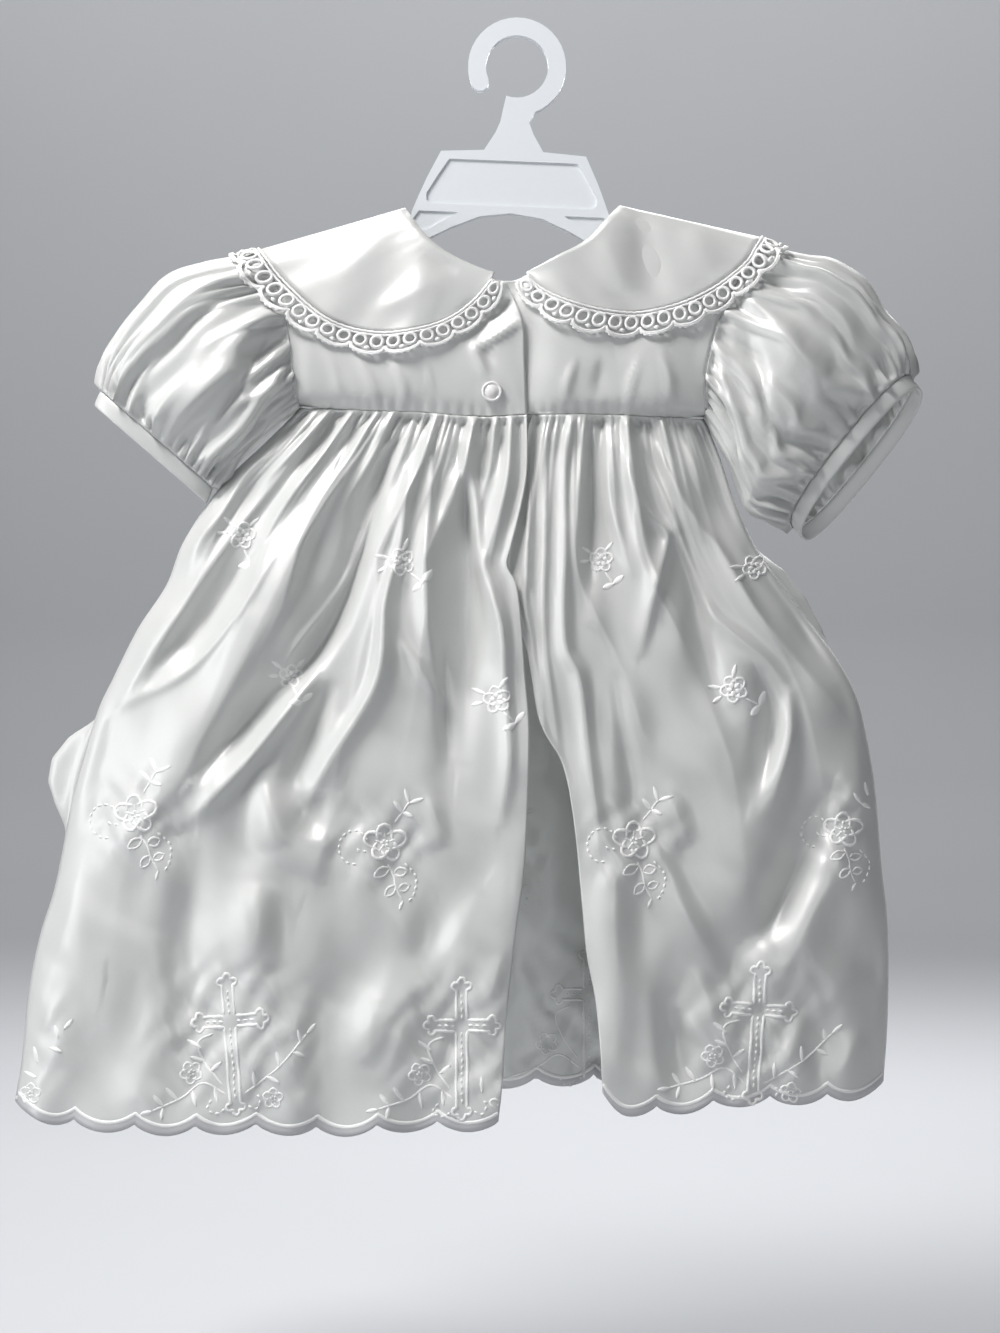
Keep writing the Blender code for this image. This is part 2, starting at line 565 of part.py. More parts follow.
def yoke_patch(name, edge_curves, side, armholes, slack=0.0, step=None):
    """A piece of the bodice from its top, bottom, left and right edges.

    armholes names the edges at sleeves, slack flattens the middle, step raises a strip.
    """
    top, bottom, left, right = edge_curves
    across = np.linspace(0, 1, len(top))
    grid = fill_patch(top, bottom, left, right, across, yoke_rows())
    x, outward, z = grid[..., 0], grid[..., 1], grid[..., 2]
    u, v = np.meshgrid(across, yoke_rows())
    outward = outward - slack * 16 * u * (1 - u) * v * (1 - v)
    if step is not None:
        outward = outward + step(x)
    turn = np.clip((z[:1] - z) / SHOULDER_ROUND, 0, 1)
    turned = SHOULDER_ROUND * np.sqrt(1 - (1 - turn) ** 2)
    at_shoulder = (grid[0, :, 1] < SHOULDER_ROUND) & (across > 0) & (across < 1)
    outward = np.where(at_shoulder, np.maximum(outward, turned), outward)
    outward = np.maximum(outward, HALF_GAP)
    z[-1] += HALF_GAP
    outer = place_in_depth(x, outward, z, side)
    edges = {"bottom": (0, -side, 0)}
    inner = panel_inner(outer, side, edges=edges)
    shoulder = grid[0, :, 1] < 0.001
    inner[0, shoulder] = outer[0, shoulder] + np.array([0, 0, -WALL])
    for edge, rows in armholes.items():
        ring = armhole_ring(rows)
        steps = ring_inward(ring, np.array([1.0, 0, 0]))
        half = ARMHOLE_STEPS + 1
        chosen = steps[:half] if side == BACK else steps[:half - 1:-1]
        slot = 0 if edge == "left" else -1
        inner[:, slot] = outer[:, slot] + chosen * WALL
    return wall_between(name, outer, keep_to_side(inner, side), SATIN)


def joined(first, second, count_first, count_second):
    """Points along two curves that share an end."""
    one = edge_points(first, np.linspace(0, 1, count_first + 1))
    two = edge_points(second, np.linspace(0, 1, count_second + 1))
    return np.vstack([one, two[1:]])


def bodice_bottom(rows, count, side, extra=None):
    """Bottom edge of a yoke at the waist seam: x, outward, z."""
    flat = edge_points(rows, np.linspace(0, 1, count + 1))
    outward = np.maximum(skirt_depth(flat[:, 0], flat[:, 1], side), HALF_GAP)
    if extra is not None:
        outward = outward + extra(flat[:, 0])
    return np.stack([flat[:, 0], outward, flat[:, 1]], axis=-1)


def right_step(x):
    """The right half lies low under the lap, rises beside it and levels out."""
    beside = smooth_step((x - STEP_X) / STEP_WIDTH)
    level = 1 - smooth_step((x - STEP_X - STEP_WIDTH) / STEP_FADE)
    return STEP_RISE * beside * level - UNDERLAP_DROP * (1 - beside)


def bodice():
    """The two back yokes and the front yoke."""
    rows = yoke_rows()
    top = joined(SHOULDER_LEFT, NECK_BACK_LEFT, 6, 8)
    top[0, 1] = HALF_GAP
    bottom = bodice_bottom(WAIST_LEFT, len(top) - 1, BACK, lap_raise)
    yoke_patch("back_yoke_left", (top, bottom, armhole_points(ARMHOLE_LEFT),
                                  edge_points(PLACKET_LEFT, rows)),
               BACK, {"left": ARMHOLE_LEFT})
    top = joined(SHOULDER_RIGHT, NECK_BACK_RIGHT, 6, 11)[::-1]
    top[-1, 1] = HALF_GAP
    under = edge_points(PLACKET_UNDER, rows)
    bottom = bodice_bottom(WAIST_UNDERLAP, len(top) - 1, BACK)
    yoke_patch("back_yoke_right", (top, bottom, under, armhole_points(ARMHOLE_RIGHT)),
               BACK, {"right": ARMHOLE_RIGHT}, step=right_step)
    left_top = joined(SHOULDER_LEFT, NECK_FRONT_LEFT, 5, 7)
    right_top = joined(SHOULDER_RIGHT, NECK_FRONT_RIGHT, 5, 7)[::-1]
    top = np.vstack([left_top, right_top[1:]])
    top[[0, -1], 1] = HALF_GAP
    bottom = bodice_bottom(WAIST_FRONT, len(top) - 1, FRONT)
    yoke_patch("front_yoke", (top, bottom, armhole_points(ARMHOLE_LEFT),
                              armhole_points(ARMHOLE_RIGHT)),
               FRONT, {"left": ARMHOLE_LEFT, "right": ARMHOLE_RIGHT}, slack=FRONT_SLACK)


SLEEVE_COLUMNS = 2 * ARMHOLE_STEPS * SLEEVE_SPLIT
SLEEVE_ROWS = np.array([0, 0.07, 0.17, 0.31, 0.49, 0.68, 0.84, 0.94, 1.0])


def split_evenly(ring):
    """The armhole's points with more on the straight lines between them."""
    half = len(ring) // 2
    parts = []
    for piece in (ring[:half], ring[half:]):
        for start, end in zip(piece[:-1], piece[1:]):
            for k in range(SLEEVE_SPLIT):
                parts.append(start + (end - start) * k / SLEEVE_SPLIT)
    return np.array(parts)


def sleeve_axis(top, low):
    """Direction from armhole to cuff, one for each row."""
    middle = 0.5 * (top + low)
    run = np.gradient(middle, axis=0)
    return run / np.linalg.norm(run, axis=1, keepdims=True)


def sleeve_grid(top_rows, low_rows, armhole, skew):
    """Rings of a puffed sleeve from the armhole to the cuff seam."""
    rows = SLEEVE_ROWS
    top = edge_points(top_rows, rows)
    low = edge_points(low_rows, rows)
    axis = sleeve_axis(top, low)
    angle = np.linspace(0, 2 * math.pi, SLEEVE_COLUMNS, endpoint=False)
    power = 2 / SLEEVE_BOXINESS
    cosine = np.sign(np.cos(angle)) * np.abs(np.cos(angle)) ** power
    sine = np.sign(np.sin(angle)) * np.abs(np.sin(angle)) ** power
    depth = np.array(SLEEVE_DEPTH)
    back = np.interp(rows, depth[:, 0], depth[:, 1]) * MM
    front = np.interp(rows, depth[:, 0], depth[:, 2]) * MM
    middle = 0.5 * (top + low)
    half = 0.5 * (top - low)
    flat = middle[:, None] + half[:, None] * cosine[None, :, None]
    flat = flat - axis[:, None] * (skew * smooth_step(rows)[:, None] * sine[None])[..., None]
    outward = np.where(sine > 0, back[:, None] * sine, -front[:, None] * sine)
    side = np.where(sine > 0, BACK, FRONT)
    grid = place_in_depth(flat[..., 0], outward, flat[..., 1], side[None])
    ring = split_evenly(armhole_ring(armhole))
    fade = (1 - np.clip(rows / SLEEVE_BLEND, 0, 1))[:, None, None] ** 2
    shift = np.zeros(3)
    shift[0] = ARMHOLE_GAP * np.sign(top[-1, 0])
    return grid * (1 - fade) + (ring + shift)[None] * fade


def sleeve_and_cuff(side_name, top_rows, low_rows, armhole, skew):
    """A puffed sleeve and the binding at its cuff."""
    grid = sleeve_grid(top_rows, low_rows, armhole, skew)
    turn = 1 if grid[-1, 0, 0] > grid[0, 0, 0] else -1
    normal = outward_normals(grid, turn, closed=True)
    u = np.linspace(0, 1, SLEEVE_COLUMNS, endpoint=False)[None]
    v = SLEEVE_ROWS[:, None]
    count, height = CUFF_GATHERS
    at_cuff = smooth_step((v - 0.55) / 0.35) * smooth_step((1 - v) / 0.06)
    waves = height * np.sin(2 * math.pi * count * u) * at_cuff
    count, height = CAP_GATHERS
    at_cap = smooth_step(v / 0.06) * smooth_step((0.4 - v) / 0.3)
    waves = waves + height * np.sin(2 * math.pi * count * u + 1) * at_cap
    outer = grid + normal * waves[..., None]
    normal = outward_normals(outer, turn, closed=True)
    inner = outer - normal * WALL
    steps = ring_inward(armhole_ring(armhole), np.array([1.0, 0, 0]))
    inner[0] = outer[0] + split_evenly(steps) * WALL
    run = outer[-1] - outer[-2]
    axis = run.mean(axis=0)
    axis /= np.linalg.norm(axis)
    inward = ring_inward(outer[-1], axis)
    inner[-1] = outer[-1] + inward * WALL
    wall_between(f"sleeve_{side_name}", outer, inner, SATIN, closed=True)
    shares = np.array([0, 1.0])[:, None, None]
    band = outer[-1][None] + axis * (GAP + shares * CUFF_WIDTH)
    wall_between(f"cuff_{side_name}", band, band + inward[None] * BINDING_WALL, SATIN,
                 closed=True)


def surface_tree(names):
    """Search tree over the faces of the named objects."""
    vertices = []
    faces = []
    for name in names:
        mesh = bpy.data.objects[name].data
        first = len(vertices)
        vertices += [v.co.copy() for v in mesh.vertices]
        faces += [[first + index for index in face.vertices] for face in mesh.polygons]
    return BVHTree.FromPolygons(vertices, faces)


def height_over(tree, x, z, side):
    """How far the cloth beneath stands out at a place and close round it, or 0."""
    highest = 0.0
    for k in range(9):
        angle = 2 * math.pi * k / 8
        reach = 0 if k == 8 else COLLAR_REACH
        start = Vector((x + reach * math.cos(angle), side * 0.2, z + reach * math.sin(angle)))
        hit = tree.ray_cast(start, Vector((0, -side, 0)))[0]
        if hit is not None:
            highest = max(highest, side * hit.y)
    return highest


def laid_over(flat, tree, side):
    """Points of a grid x, z laid over the cloth beneath; its last column is the shoulder."""
    rows, columns = flat.shape[:2]
    share = np.tile(smooth_step((1 - np.linspace(0, 1, columns)) / 0.6), (rows, 1))
    place = place_in_depth(flat[..., 0], MEAN_DEPTH * share, flat[..., 1], side)
    raw = np.zeros((rows, columns))
    for i in range(rows):
        for j in range(columns - 1):
            raw[i, j] = height_over(tree, place[i, j, 0], place[i, j, 2], side)
    for i in range(rows - 2, -1, -1):
        raw[i] = np.where(raw[i] > 0, raw[i], raw[i + 1])
    raw = np.where(raw > 0, raw + COLLAR_CLEARANCE, 0)
    raw[:, -1] = 0
    soft = raw.copy()
    for _ in range(6):
        padded = np.pad(soft, 1, mode="edge")
        soft = (padded[:-2, 1:-1] + padded[2:, 1:-1] + padded[1:-1, :-2]
                + padded[1:-1, 2:] + 2 * soft) / 6
        soft = np.maximum(soft, raw)
        soft[:, -1] = 0
    place[..., 1] = side * soft
    for _ in range(4):
        lift_between(place, tree, side)
    return place


def lift_between(place, tree, side):
    """Raise a coarse grid where its sides and middles would cut the cloth beneath."""
    rows, columns = place.shape[:2]
    for i in range(rows):
        for j in range(columns - 1):
            for down, right in ((0.5, 0), (0, 0.5), (0.5, 0.5)):
                if i == rows - 1 and down:
                    continue
                n = min(i + 1, rows - 1)
                corners = ((i, j, (1 - down) * (1 - right)), (n, j, down * (1 - right)),
                           (i, j + 1, (1 - down) * right), (n, j + 1, down * right))
                point = sum(share * place[r, c] for r, c, share in corners)
                found = height_over(tree, point[0], point[2], side)
                lack = found + COLLAR_CLEARANCE - side * point[1]
                if found <= 0 or lack <= 0:
                    continue
                for r, c, share in corners:
                    if share > 0 and c < columns - 1:
                        place[r, c, 1] += side * lack


def half_collar(neck, edge, lace):
    """Flat grid of half a collar and its lace on one side, from centre to shoulder."""
    even = np.linspace(0, 1, HALF_COLLAR_COLUMNS, endpoint=False)
    along = np.append(even, SHOULDER_SHARES)
    neck_points = edge_points(neck, along)
    edge_line = edge_points(edge, along)
    lace_width = edge_points(lace, along) - edge_line
    length = np.linalg.norm(lace_width, axis=1, keepdims=True)
    arch = 1 - np.abs(np.sin(math.pi * HALF_SCALLOPS * along)) ** 0.8
    lace_width = lace_width * (1 - LACE_SCALLOP_DEPTH * arch[:, None] / length)
    collar = neck_points[None] + COLLAR_SHARES[:, None, None] * (edge_line - neck_points)[None]
    trim = edge_line[None] + LACE_SHARES[:, None, None] * lace_width[None]
    return np.concatenate([collar, trim])


def collar_half(side_name, back, front):
    """One half of the collar with its lace, from centre back over the shoulder to the front."""
    back_tree = surface_tree([f"back_yoke_{side_name}", f"sleeve_{side_name}"])
    front_tree = surface_tree(["front_yoke", f"sleeve_{side_name}"])
    near = laid_over(half_collar(*back), back_tree, BACK)
    far = laid_over(half_collar(*front), front_tree, FRONT)
    outer = np.concatenate([near, far[:, -2::-1]], axis=1)
    sign = 1 if side_name == "left" else -1
    inner = outer - outward_normals(outer, sign) * WALL
    rows = len(COLLAR_SHARES)
    wall_between(f"collar_{side_name}", outer[:rows], inner[:rows], SATIN)
    run = outer[rows] - outer[rows - 1]
    step = run / np.linalg.norm(run, axis=1, keepdims=True) * GAP
    lace_outer = outer[rows - 1:].copy()
    lace_inner = inner[rows - 1:].copy()
    lace_outer[0] += step
    lace_inner[0] += step
    wall_between(f"collar_lace_{side_name}", lace_outer, lace_inner, LACE)


def collars():
    """Both halves of the collar and the lace round them."""
    collar_half("left", (COLLAR_NECK_LEFT, COLLAR_EDGE_LEFT, LACE_EDGE_LEFT),
                (FRONT_NECK_LEFT, FRONT_EDGE_LEFT, FRONT_LACE_LEFT))
    collar_half("right", (COLLAR_NECK_RIGHT, COLLAR_EDGE_RIGHT, LACE_EDGE_RIGHT),
                (FRONT_NECK_RIGHT, FRONT_EDGE_RIGHT, FRONT_LACE_RIGHT))


def pearl_button():
    """A domed button that lies on the lap of the back yoke."""
    place = place_in_depth(np.array(BUTTON_X), np.array(0.014), np.array(BUTTON_Z), BACK)
    tree = surface_tree(["back_yoke_left"])
    stand = 0.0
    for k in range(BUTTON_SIDES):
        angle = 2 * math.pi * k / BUTTON_SIDES
        start = Vector((place[0] + 0.8 * BUTTON_RADIUS * math.cos(angle), -0.2,
                        place[2] + 0.8 * BUTTON_RADIUS * math.sin(angle)))
        hit = tree.ray_cast(start, Vector((0, 1, 0)))[0]
        stand = max(stand, -hit.y)
    seat = -(stand + GAP)
    vertices = []
    for share, height in BUTTON_PROFILE:
        for k in range(BUTTON_SIDES):
            angle = 2 * math.pi * k / BUTTON_SIDES
            vertices.append((place[0] + share * BUTTON_RADIUS * math.cos(angle),
                             seat - height * MM,
                             place[2] + share * BUTTON_RADIUS * math.sin(angle)))
    faces = grid_faces(len(BUTTON_PROFILE), BUTTON_SIDES, 0, True)
    last = (len(BUTTON_PROFILE) - 1) * BUTTON_SIDES
    faces.append(tuple(range(BUTTON_SIDES)))
    faces.append(tuple(range(last, last + BUTTON_SIDES)))
    return make_object("pearl_button", vertices, faces, PEARL)


def mirrored(rows):
    """A run of x, z rows and then its mirror image, back to the start."""
    points = [(x * MM, z * MM) for x, z in rows]
    return points + [(-x, z) for x, z in points[::-1] if abs(x) > 1e-9]


def hanger_outline():
    """Outline of the hanger: hook, stem, plate, arms and arch, once round."""
    centre_z = -HOOK_INNER_RADIUS
    outer_radius = HOOK_INNER_RADIUS + HOOK_WIDTH
    inner_angles = np.linspace(HOOK_START, HOOK_END, HOOK_SIDES)
    outer_angles = np.linspace(HOOK_END, HOOK_FOOT, HOOK_SIDES)
    inside = [(HOOK_INNER_RADIUS * math.cos(a), centre_z + HOOK_INNER_RADIUS * math.sin(a))
              for a in inner_angles]
    tip_radius = HOOK_WIDTH / 2
    middle = HOOK_INNER_RADIUS + tip_radius
    tip_x = middle * math.cos(HOOK_END)
    tip_z = centre_z + middle * math.sin(HOOK_END)
    tip = []
    for k in range(1, 6):
        angle = HOOK_END + math.pi - math.pi * k / 6
        tip.append((tip_x - tip_radius * math.cos(angle) * -1,
                    tip_z + tip_radius * math.sin(angle)))
    outside = [(outer_radius * math.cos(a), centre_z + outer_radius * math.sin(a))
               for a in outer_angles]
    right = [(x * MM, z * MM) for x, z in
             HANGER_STEM + HANGER_SHOULDER + HANGER_ARM_END + HANGER_ARCH]
    left = [(-x, z) for x, z in right[-2::-1]]
    return inside + tip + outside + right + left


def prism(name, outline, low, high):
    """Solid between two depths with the given x, z outline."""
    count = len(outline)
    vertices = [(x, low, z) for x, z in outline] + [(x, high, z) for x, z in outline]
    faces = [tuple(range(count)), tuple(range(2 * count - 1, count - 1, -1))]
    for k in range(count):
        n = (k + 1) % count
        faces.append((k, count + k, count + n, n))
    return make_object(name, vertices, faces, PLASTIC)


def hanger():
    """The moulded hanger with its raised rims."""
    body = prism("hanger", hanger_outline(), -HANGER_HALF_DEPTH, HANGER_HALF_DEPTH)
    plate = mirrored(PLATE_RECESS)
    arm = [(x * MM, z * MM) for x, z in ARM_RECESS]
    other_arm = [(-x, z) for x, z in arm]
    floor = HANGER_HALF_DEPTH - RECESS_DEPTH
    beyond = 2 * HANGER_HALF_DEPTH
    for k, outline in enumerate((plate, arm, other_arm)):
        for side in (BACK, FRONT):
            low, high = sorted((side * floor, side * beyond))
            cutter = prism(f"cutter_{k}_{side + 1}", outline, low, high)
            cutter.hide_render = True
            cutter.display_type = "WIRE"
            cut = body.modifiers.new(cutter.name, "BOOLEAN")
            cut.operation = "DIFFERENCE"
            cut.solver = "EXACT"
            cut.object = cutter
            cutter.rotation_euler = (0, HANGER_TILT, 0)
    body.rotation_euler = (0, HANGER_TILT, 0)
    body.data.set_sharp_from_angle(angle=math.radians(30))
    return body


def build():
    """Make every piece."""
    clear_scene()
    hanger()
    bodice()
    back_skirt("back_skirt_left", LEFT_COLUMNS, WAIST_LEFT, HEM_LEFT, SIDE_LEFT, OPENING_LEFT,
               FOLDS_LEFT, WAIST_GATHERS_LEFT, SCALLOPS_LEFT, True)
    back_skirt("back_skirt_right", RIGHT_COLUMNS, WAIST_RIGHT, HEM_RIGHT, OPENING_RIGHT, SIDE_RIGHT,
               FOLDS_RIGHT, WAIST_GATHERS_RIGHT, SCALLOPS_RIGHT, False)
    front_skirt()
    sleeve_and_cuff("left", SLEEVE_TOP_LEFT, SLEEVE_LOW_LEFT, ARMHOLE_LEFT, CUFF_SKEW_LEFT)
    sleeve_and_cuff("right", SLEEVE_TOP_RIGHT, SLEEVE_LOW_RIGHT, ARMHOLE_RIGHT,
                    CUFF_SKEW_RIGHT)
    collars()
    pearl_button()
    bpy.context.view_layer.update()


build()
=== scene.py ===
"""Looks of the christening gown on its hanger: cloth, lace, embroidery, lights and camera.

Metres, +Z up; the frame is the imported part's. The back of the gown faces -Y and +X is to the
right as one looks at it. Tables are in millimetres, MM turns them into metres, and they give
places as seen square on from VIEW_DISTANCE; place_in_depth() moves them to their real place.
"""

import math

import bpy
import numpy as np
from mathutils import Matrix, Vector
from mathutils.bvhtree import BVHTree


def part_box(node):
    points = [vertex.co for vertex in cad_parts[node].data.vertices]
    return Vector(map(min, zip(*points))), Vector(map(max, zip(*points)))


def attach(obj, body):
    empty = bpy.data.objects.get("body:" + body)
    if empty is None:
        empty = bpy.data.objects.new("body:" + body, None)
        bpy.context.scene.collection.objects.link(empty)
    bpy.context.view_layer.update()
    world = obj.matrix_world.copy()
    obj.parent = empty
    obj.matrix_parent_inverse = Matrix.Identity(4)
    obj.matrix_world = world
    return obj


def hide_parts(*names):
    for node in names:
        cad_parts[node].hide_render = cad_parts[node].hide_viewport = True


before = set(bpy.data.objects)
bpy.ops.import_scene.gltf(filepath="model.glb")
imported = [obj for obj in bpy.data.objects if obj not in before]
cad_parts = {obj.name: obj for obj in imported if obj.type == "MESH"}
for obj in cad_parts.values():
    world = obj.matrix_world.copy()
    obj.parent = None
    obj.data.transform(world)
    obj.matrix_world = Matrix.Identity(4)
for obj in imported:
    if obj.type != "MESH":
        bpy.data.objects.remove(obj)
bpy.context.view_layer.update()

MM = 0.001
CLOTH = 0.00045             # thickness that shows at the edges
HALF_GAP = 0.00015          # half the space between two pieces at their seam
ARMHOLE_GAP = 0.0004
VIEW_DISTANCE = 1.15
VIEW_CENTRE_X = -0.0082
VIEW_CENTRE_Z = -0.2835
BACK = -1                   # side of the back panels along Y
FRONT = 1
RAY_START = 0.2             # from the middle plane, outside everything

# Outlines of the gown. Columns: x, z, from top to bottom or from left to right.
SIDE_LEFT = [(-97.4, -167.2), (-113.5, -183), (-133, -202), (-150, -227), (-158, -247),
             (-171, -267), (-182, -289), (-189, -304), (-195, -325), (-201, -347),
             (-208, -382), (-215, -405), (-220, -430), (-223, -460), (-226, -484)]
SIDE_RIGHT = [(83.4, -172), (91, -191), (97, -209), (106, -229), (116, -244), (127, -259),
              (143, -280), (152, -297), (156, -313), (160, -336), (163, -371),
              (166, -401), (166, -437), (164, -475)]
OPENING_LEFT = [(4, -170), (4, -195), (1, -213), (-3, -229), (-5, -238), (-1, -246),
                (1, -260), (3, -287), (5, -317), (3, -371), (-1, -402), (-5, -438),
                (-7, -470), (-9, -493)]
OPENING_RIGHT = [(6, -170), (2, -186), (-3, -213), (-7, -236), (-4, -254), (4, -278), (10, -309),
                 (20, -328), (25, -353), (29, -392), (31, -413), (35, -434),
                 (37, -456), (38, -480)]
WAIST_LEFT = [(-99, -167), (-71, -168), (-44, -169), (-17, -171), (4, -170)]
WAIST_RIGHT = [(6, -170), (19, -170), (37, -170), (64, -171), (85, -172)]
WAIST_UNDERLAP = [(-14, -170), (6, -170), (37, -170), (64, -171), (85, -172)]
WAIST_FRONT = [(-99, -167), (-60, -169), (-7, -171), (50, -171), (85, -172)]
HEM_LEFT = [(-226, -484), (-206, -491), (-176, -494), (-149, -495), (-121, -494),
            (-95, -495), (-70, -495), (-46, -493), (-22, -493), (-9, -493)]
HEM_RIGHT = [(38, -480), (50, -486), (75, -485), (98, -482), (121, -481), (145, -480),
             (164, -475)]
HEM_FRONT = [(-226, -484), (-190, -482), (-120, -478), (-40, -475), (40, -472),
             (110, -472), (164, -475)]

# Depth of the skirt on each side of its side seams. Columns: z, back, front.
SKIRT_DEPTH = [(-165, 12, 11), (-200, 17, 14), (-260, 24, 18), (-330, 29, 22),
               (-420, 31, 24), (-500, 31, 25)]
LENS_POWER = 2.6            # how boxy the cross-section between the side seams is
LAP_RAISE = 0.0024          # the left half lies over the right one
LAP_WIDTH = 0.030
UNDERLAP_DROP = 0.0016      # the right half lies deeper under the lap
STEP_RISE = 0.0018          # and rises beside it
STEP_FADE = 0.030
STEP_X = 0.0075
STEP_WIDTH = 0.004

# How far the front skirt rolls out past the side seams. Columns: z, width.
ROLL_LEFT = [(-300, 0), (-306, 9), (-315, 24), (-325, 30), (-335, 29), (-346, 22),
             (-358, 12), (-366, 0)]
ROLL_RIGHT = [(-226, 0), (-233, 10), (-240, 16), (-252, 18), (-266, 15), (-282, 8),
              (-300, 2), (-312, 0)]
ROLL_SHARE = 0.10           # share of the width that the roll takes up

# Edges of the bodice. Columns: x, y outward, z. The shoulder is at y 0.
SHOULDER_LEFT = [(-115, 0, -98.5), (-83, 0, -89), (-51, 0, -79.5)]
SHOULDER_RIGHT = [(109, 0, -93.5), (77, 0, -86), (46, 0, -78.5)]
NECK_BACK_LEFT = [(-51, 0, -79.5), (-50, 4.8, -80.6), (-48, 6.4, -83), (-40, 8, -93),
                  (-30, 10, -100), (-15, 12.3, -107), (-5, 13.4, -111)]
NECK_BACK_RIGHT = [(46, 0, -78.5), (45, 4.8, -79.6), (43, 6.4, -82), (31, 8, -93),
                   (17, 10, -101), (5, 11.6, -107), (-3, 12, -110), (-14, 11.2, -109)]
NECK_FRONT_LEFT = [(-51, 0, -79.5), (-50, 4.8, -80.6), (-48, 6.6, -84), (-41, 8, -98),
                   (-30, 9.6, -112), (-16, 10.6, -121), (-2, 11, -125)]
NECK_FRONT_RIGHT = [(46, 0, -78.5), (45, 4.8, -79.6), (43, 6.6, -83), (37, 8, -98),
                    (26, 9.6, -112), (12, 10.6, -121), (-2, 11, -125)]
ARMHOLE_LEFT = [(-115, 0, -98.5), (-113, 5, -101), (-106, 9.5, -119),
                (-103, 11, -134), (-101, 10.4, -151), (-99.6, 7.6, -162), (-99, 0, -167)]
ARMHOLE_RIGHT = [(109, 0, -93.5), (107, 5, -96), (92, 9.5, -123), (85, 11, -146),
                 (84, 10.4, -158), (84.5, 7.6, -167.5), (85, 0, -172)]
PLACKET_LEFT = [(-5, 13.4, -111), (2, 14.4, -128), (3, 14.6, -145), (4, 14.4, -170)]
PLACKET_UNDER = [(-14, 11.2, -109), (-14, 11.9, -128), (-14, 12, -145), (-14, 12, -170)]
SHOULDER_ROUND = 0.006      # radius that the cloth turns over the hanger's arm
FRONT_SLACK = 0.009         # how far the front falls in between its edges

# Collar and lace edges on the back and on the front. Columns: x, z, from centre to shoulder.
COLLAR_NECK_LEFT = [(-10.5, -106), (-16, -104.5), (-30, -98), (-40, -91), (-47, -83), (-51, -77)]
COLLAR_NECK_RIGHT = [(3.5, -105.8), (10, -102.6), (18, -98.2), (31, -91), (40, -82), (46, -76)]
COLLAR_EDGE_LEFT = [(-12, -108.8), (-21, -119), (-32, -127), (-47, -132), (-64, -133),
                    (-82, -129), (-94, -121), (-106, -109), (-116, -96)]
COLLAR_EDGE_RIGHT = [(4.5, -108), (13, -114.5), (26, -120), (39, -123), (52, -124),
                     (65, -122), (78, -118), (91, -111), (102, -102), (109, -90.5)]
LACE_EDGE_LEFT = [(-5.5, -111.5), (-9, -120), (-17, -129), (-31, -138), (-47, -142), (-64, -144),
                  (-82, -140), (-98, -133), (-113, -122), (-124, -110), (-130, -99)]
LACE_EDGE_RIGHT = [(-2.5, -111.5), (2.5, -119), (10, -126), (22, -132), (36, -135), (51, -136),
                   (66, -134), (82, -129), (98, -120), (113, -107), (121, -96)]
FRONT_NECK_LEFT = [(-8, -120.5), (-16, -118), (-30, -109), (-41, -95), (-47, -83), (-51, -77)]
FRONT_NECK_RIGHT = [(4, -120.5), (12, -118), (26, -109), (37, -95), (42, -83), (46, -76)]
FRONT_EDGE_LEFT = [(-9.5, -123.5), (-20, -134), (-40, -143), (-62, -144), (-82, -139),
                   (-98, -127), (-108, -112), (-116, -96)]
FRONT_EDGE_RIGHT = [(5.5, -123.5), (16, -134), (36, -143), (56, -143), (76, -136),
                    (92, -122), (102, -107), (109, -90.5)]
FRONT_LACE_LEFT = [(-4, -127), (-14, -144), (-38, -154), (-64, -155), (-88, -149),
                   (-108, -134), (-121, -115), (-130, -99)]
FRONT_LACE_RIGHT = [(0, -127), (10, -144), (34, -154), (60, -154), (82, -145),
                    (101, -130), (113, -112), (121, -96)]
COLLAR_CLEARANCE = 0.0018   # from the cloth beneath to the collar's outer face
COLLAR_SINK = 0.0006        # how far smoothing may take it back
COLLAR_SMOOTHING = 60
COLLAR_SHOULDER = 0.6       # share of its length over which it turns to the shoulder
COLLAR_CROWDING = 0.9       # below 1 the points stand closer at the shoulder
COLLAR_NECK_FLAT = 0.12     # share of its width without dents
COLLAR_WAVE = 0.0007
COLLAR_WAVES = (5.5, 13)    # long and short waves from the back's centre to the front's
MEAN_DEPTH = 0.013          # of the cloth under the collar

# Sleeves. Columns of the edges: x, z, from armhole to cuff; of the depths: share, back, front.
SLEEVE_TOP_LEFT = [(-115, -98.5), (-124, -100.5), (-133, -102.5), (-142, -104.5),
                   (-156, -110), (-168, -122), (-179, -134), (-186, -146), (-188, -159)]
SLEEVE_LOW_LEFT = [(-99, -167), (-107, -173), (-116, -181.5), (-126, -191.5), (-137, -203)]
SLEEVE_TOP_RIGHT = [(109, -93.5), (119, -99), (130, -101), (139, -102), (147, -106),
                    (155, -112), (163, -124), (172, -134), (176, -144), (177, -153)]
SLEEVE_LOW_RIGHT = [(85, -172), (94, -190), (100, -206), (104, -214), (114, -218),
                    (123, -220)]
SLEEVE_DEPTH = [(0, 11, 11), (0.12, 15, 14), (0.4, 20, 17), (0.7, 18, 16), (0.9, 13, 12),
                (1, 9.5, 9)]
SLEEVE_BOXINESS = 2.5
SLEEVE_BLEND = 0.30         # share of the length over which the armhole's shape fades
SLEEVE_GIRTH = 0.25
SLEEVE_SEAMS = (0.04, 0.03) # shares of the length that stay flat at the armhole and the cuff
CUFF_WIDTH = 0.0075
CUFF_THICK = 0.0016
CUFF_SIDES = 14             # of the binding's rounded section
CUFF_POWERS = (0.5, 0.6)    # below 1 the section is boxier
# How far the back of each cuff is drawn towards the shoulder, and the front away from it.
CUFF_SKEW_LEFT = 0.000
CUFF_SKEW_RIGHT = 0.007

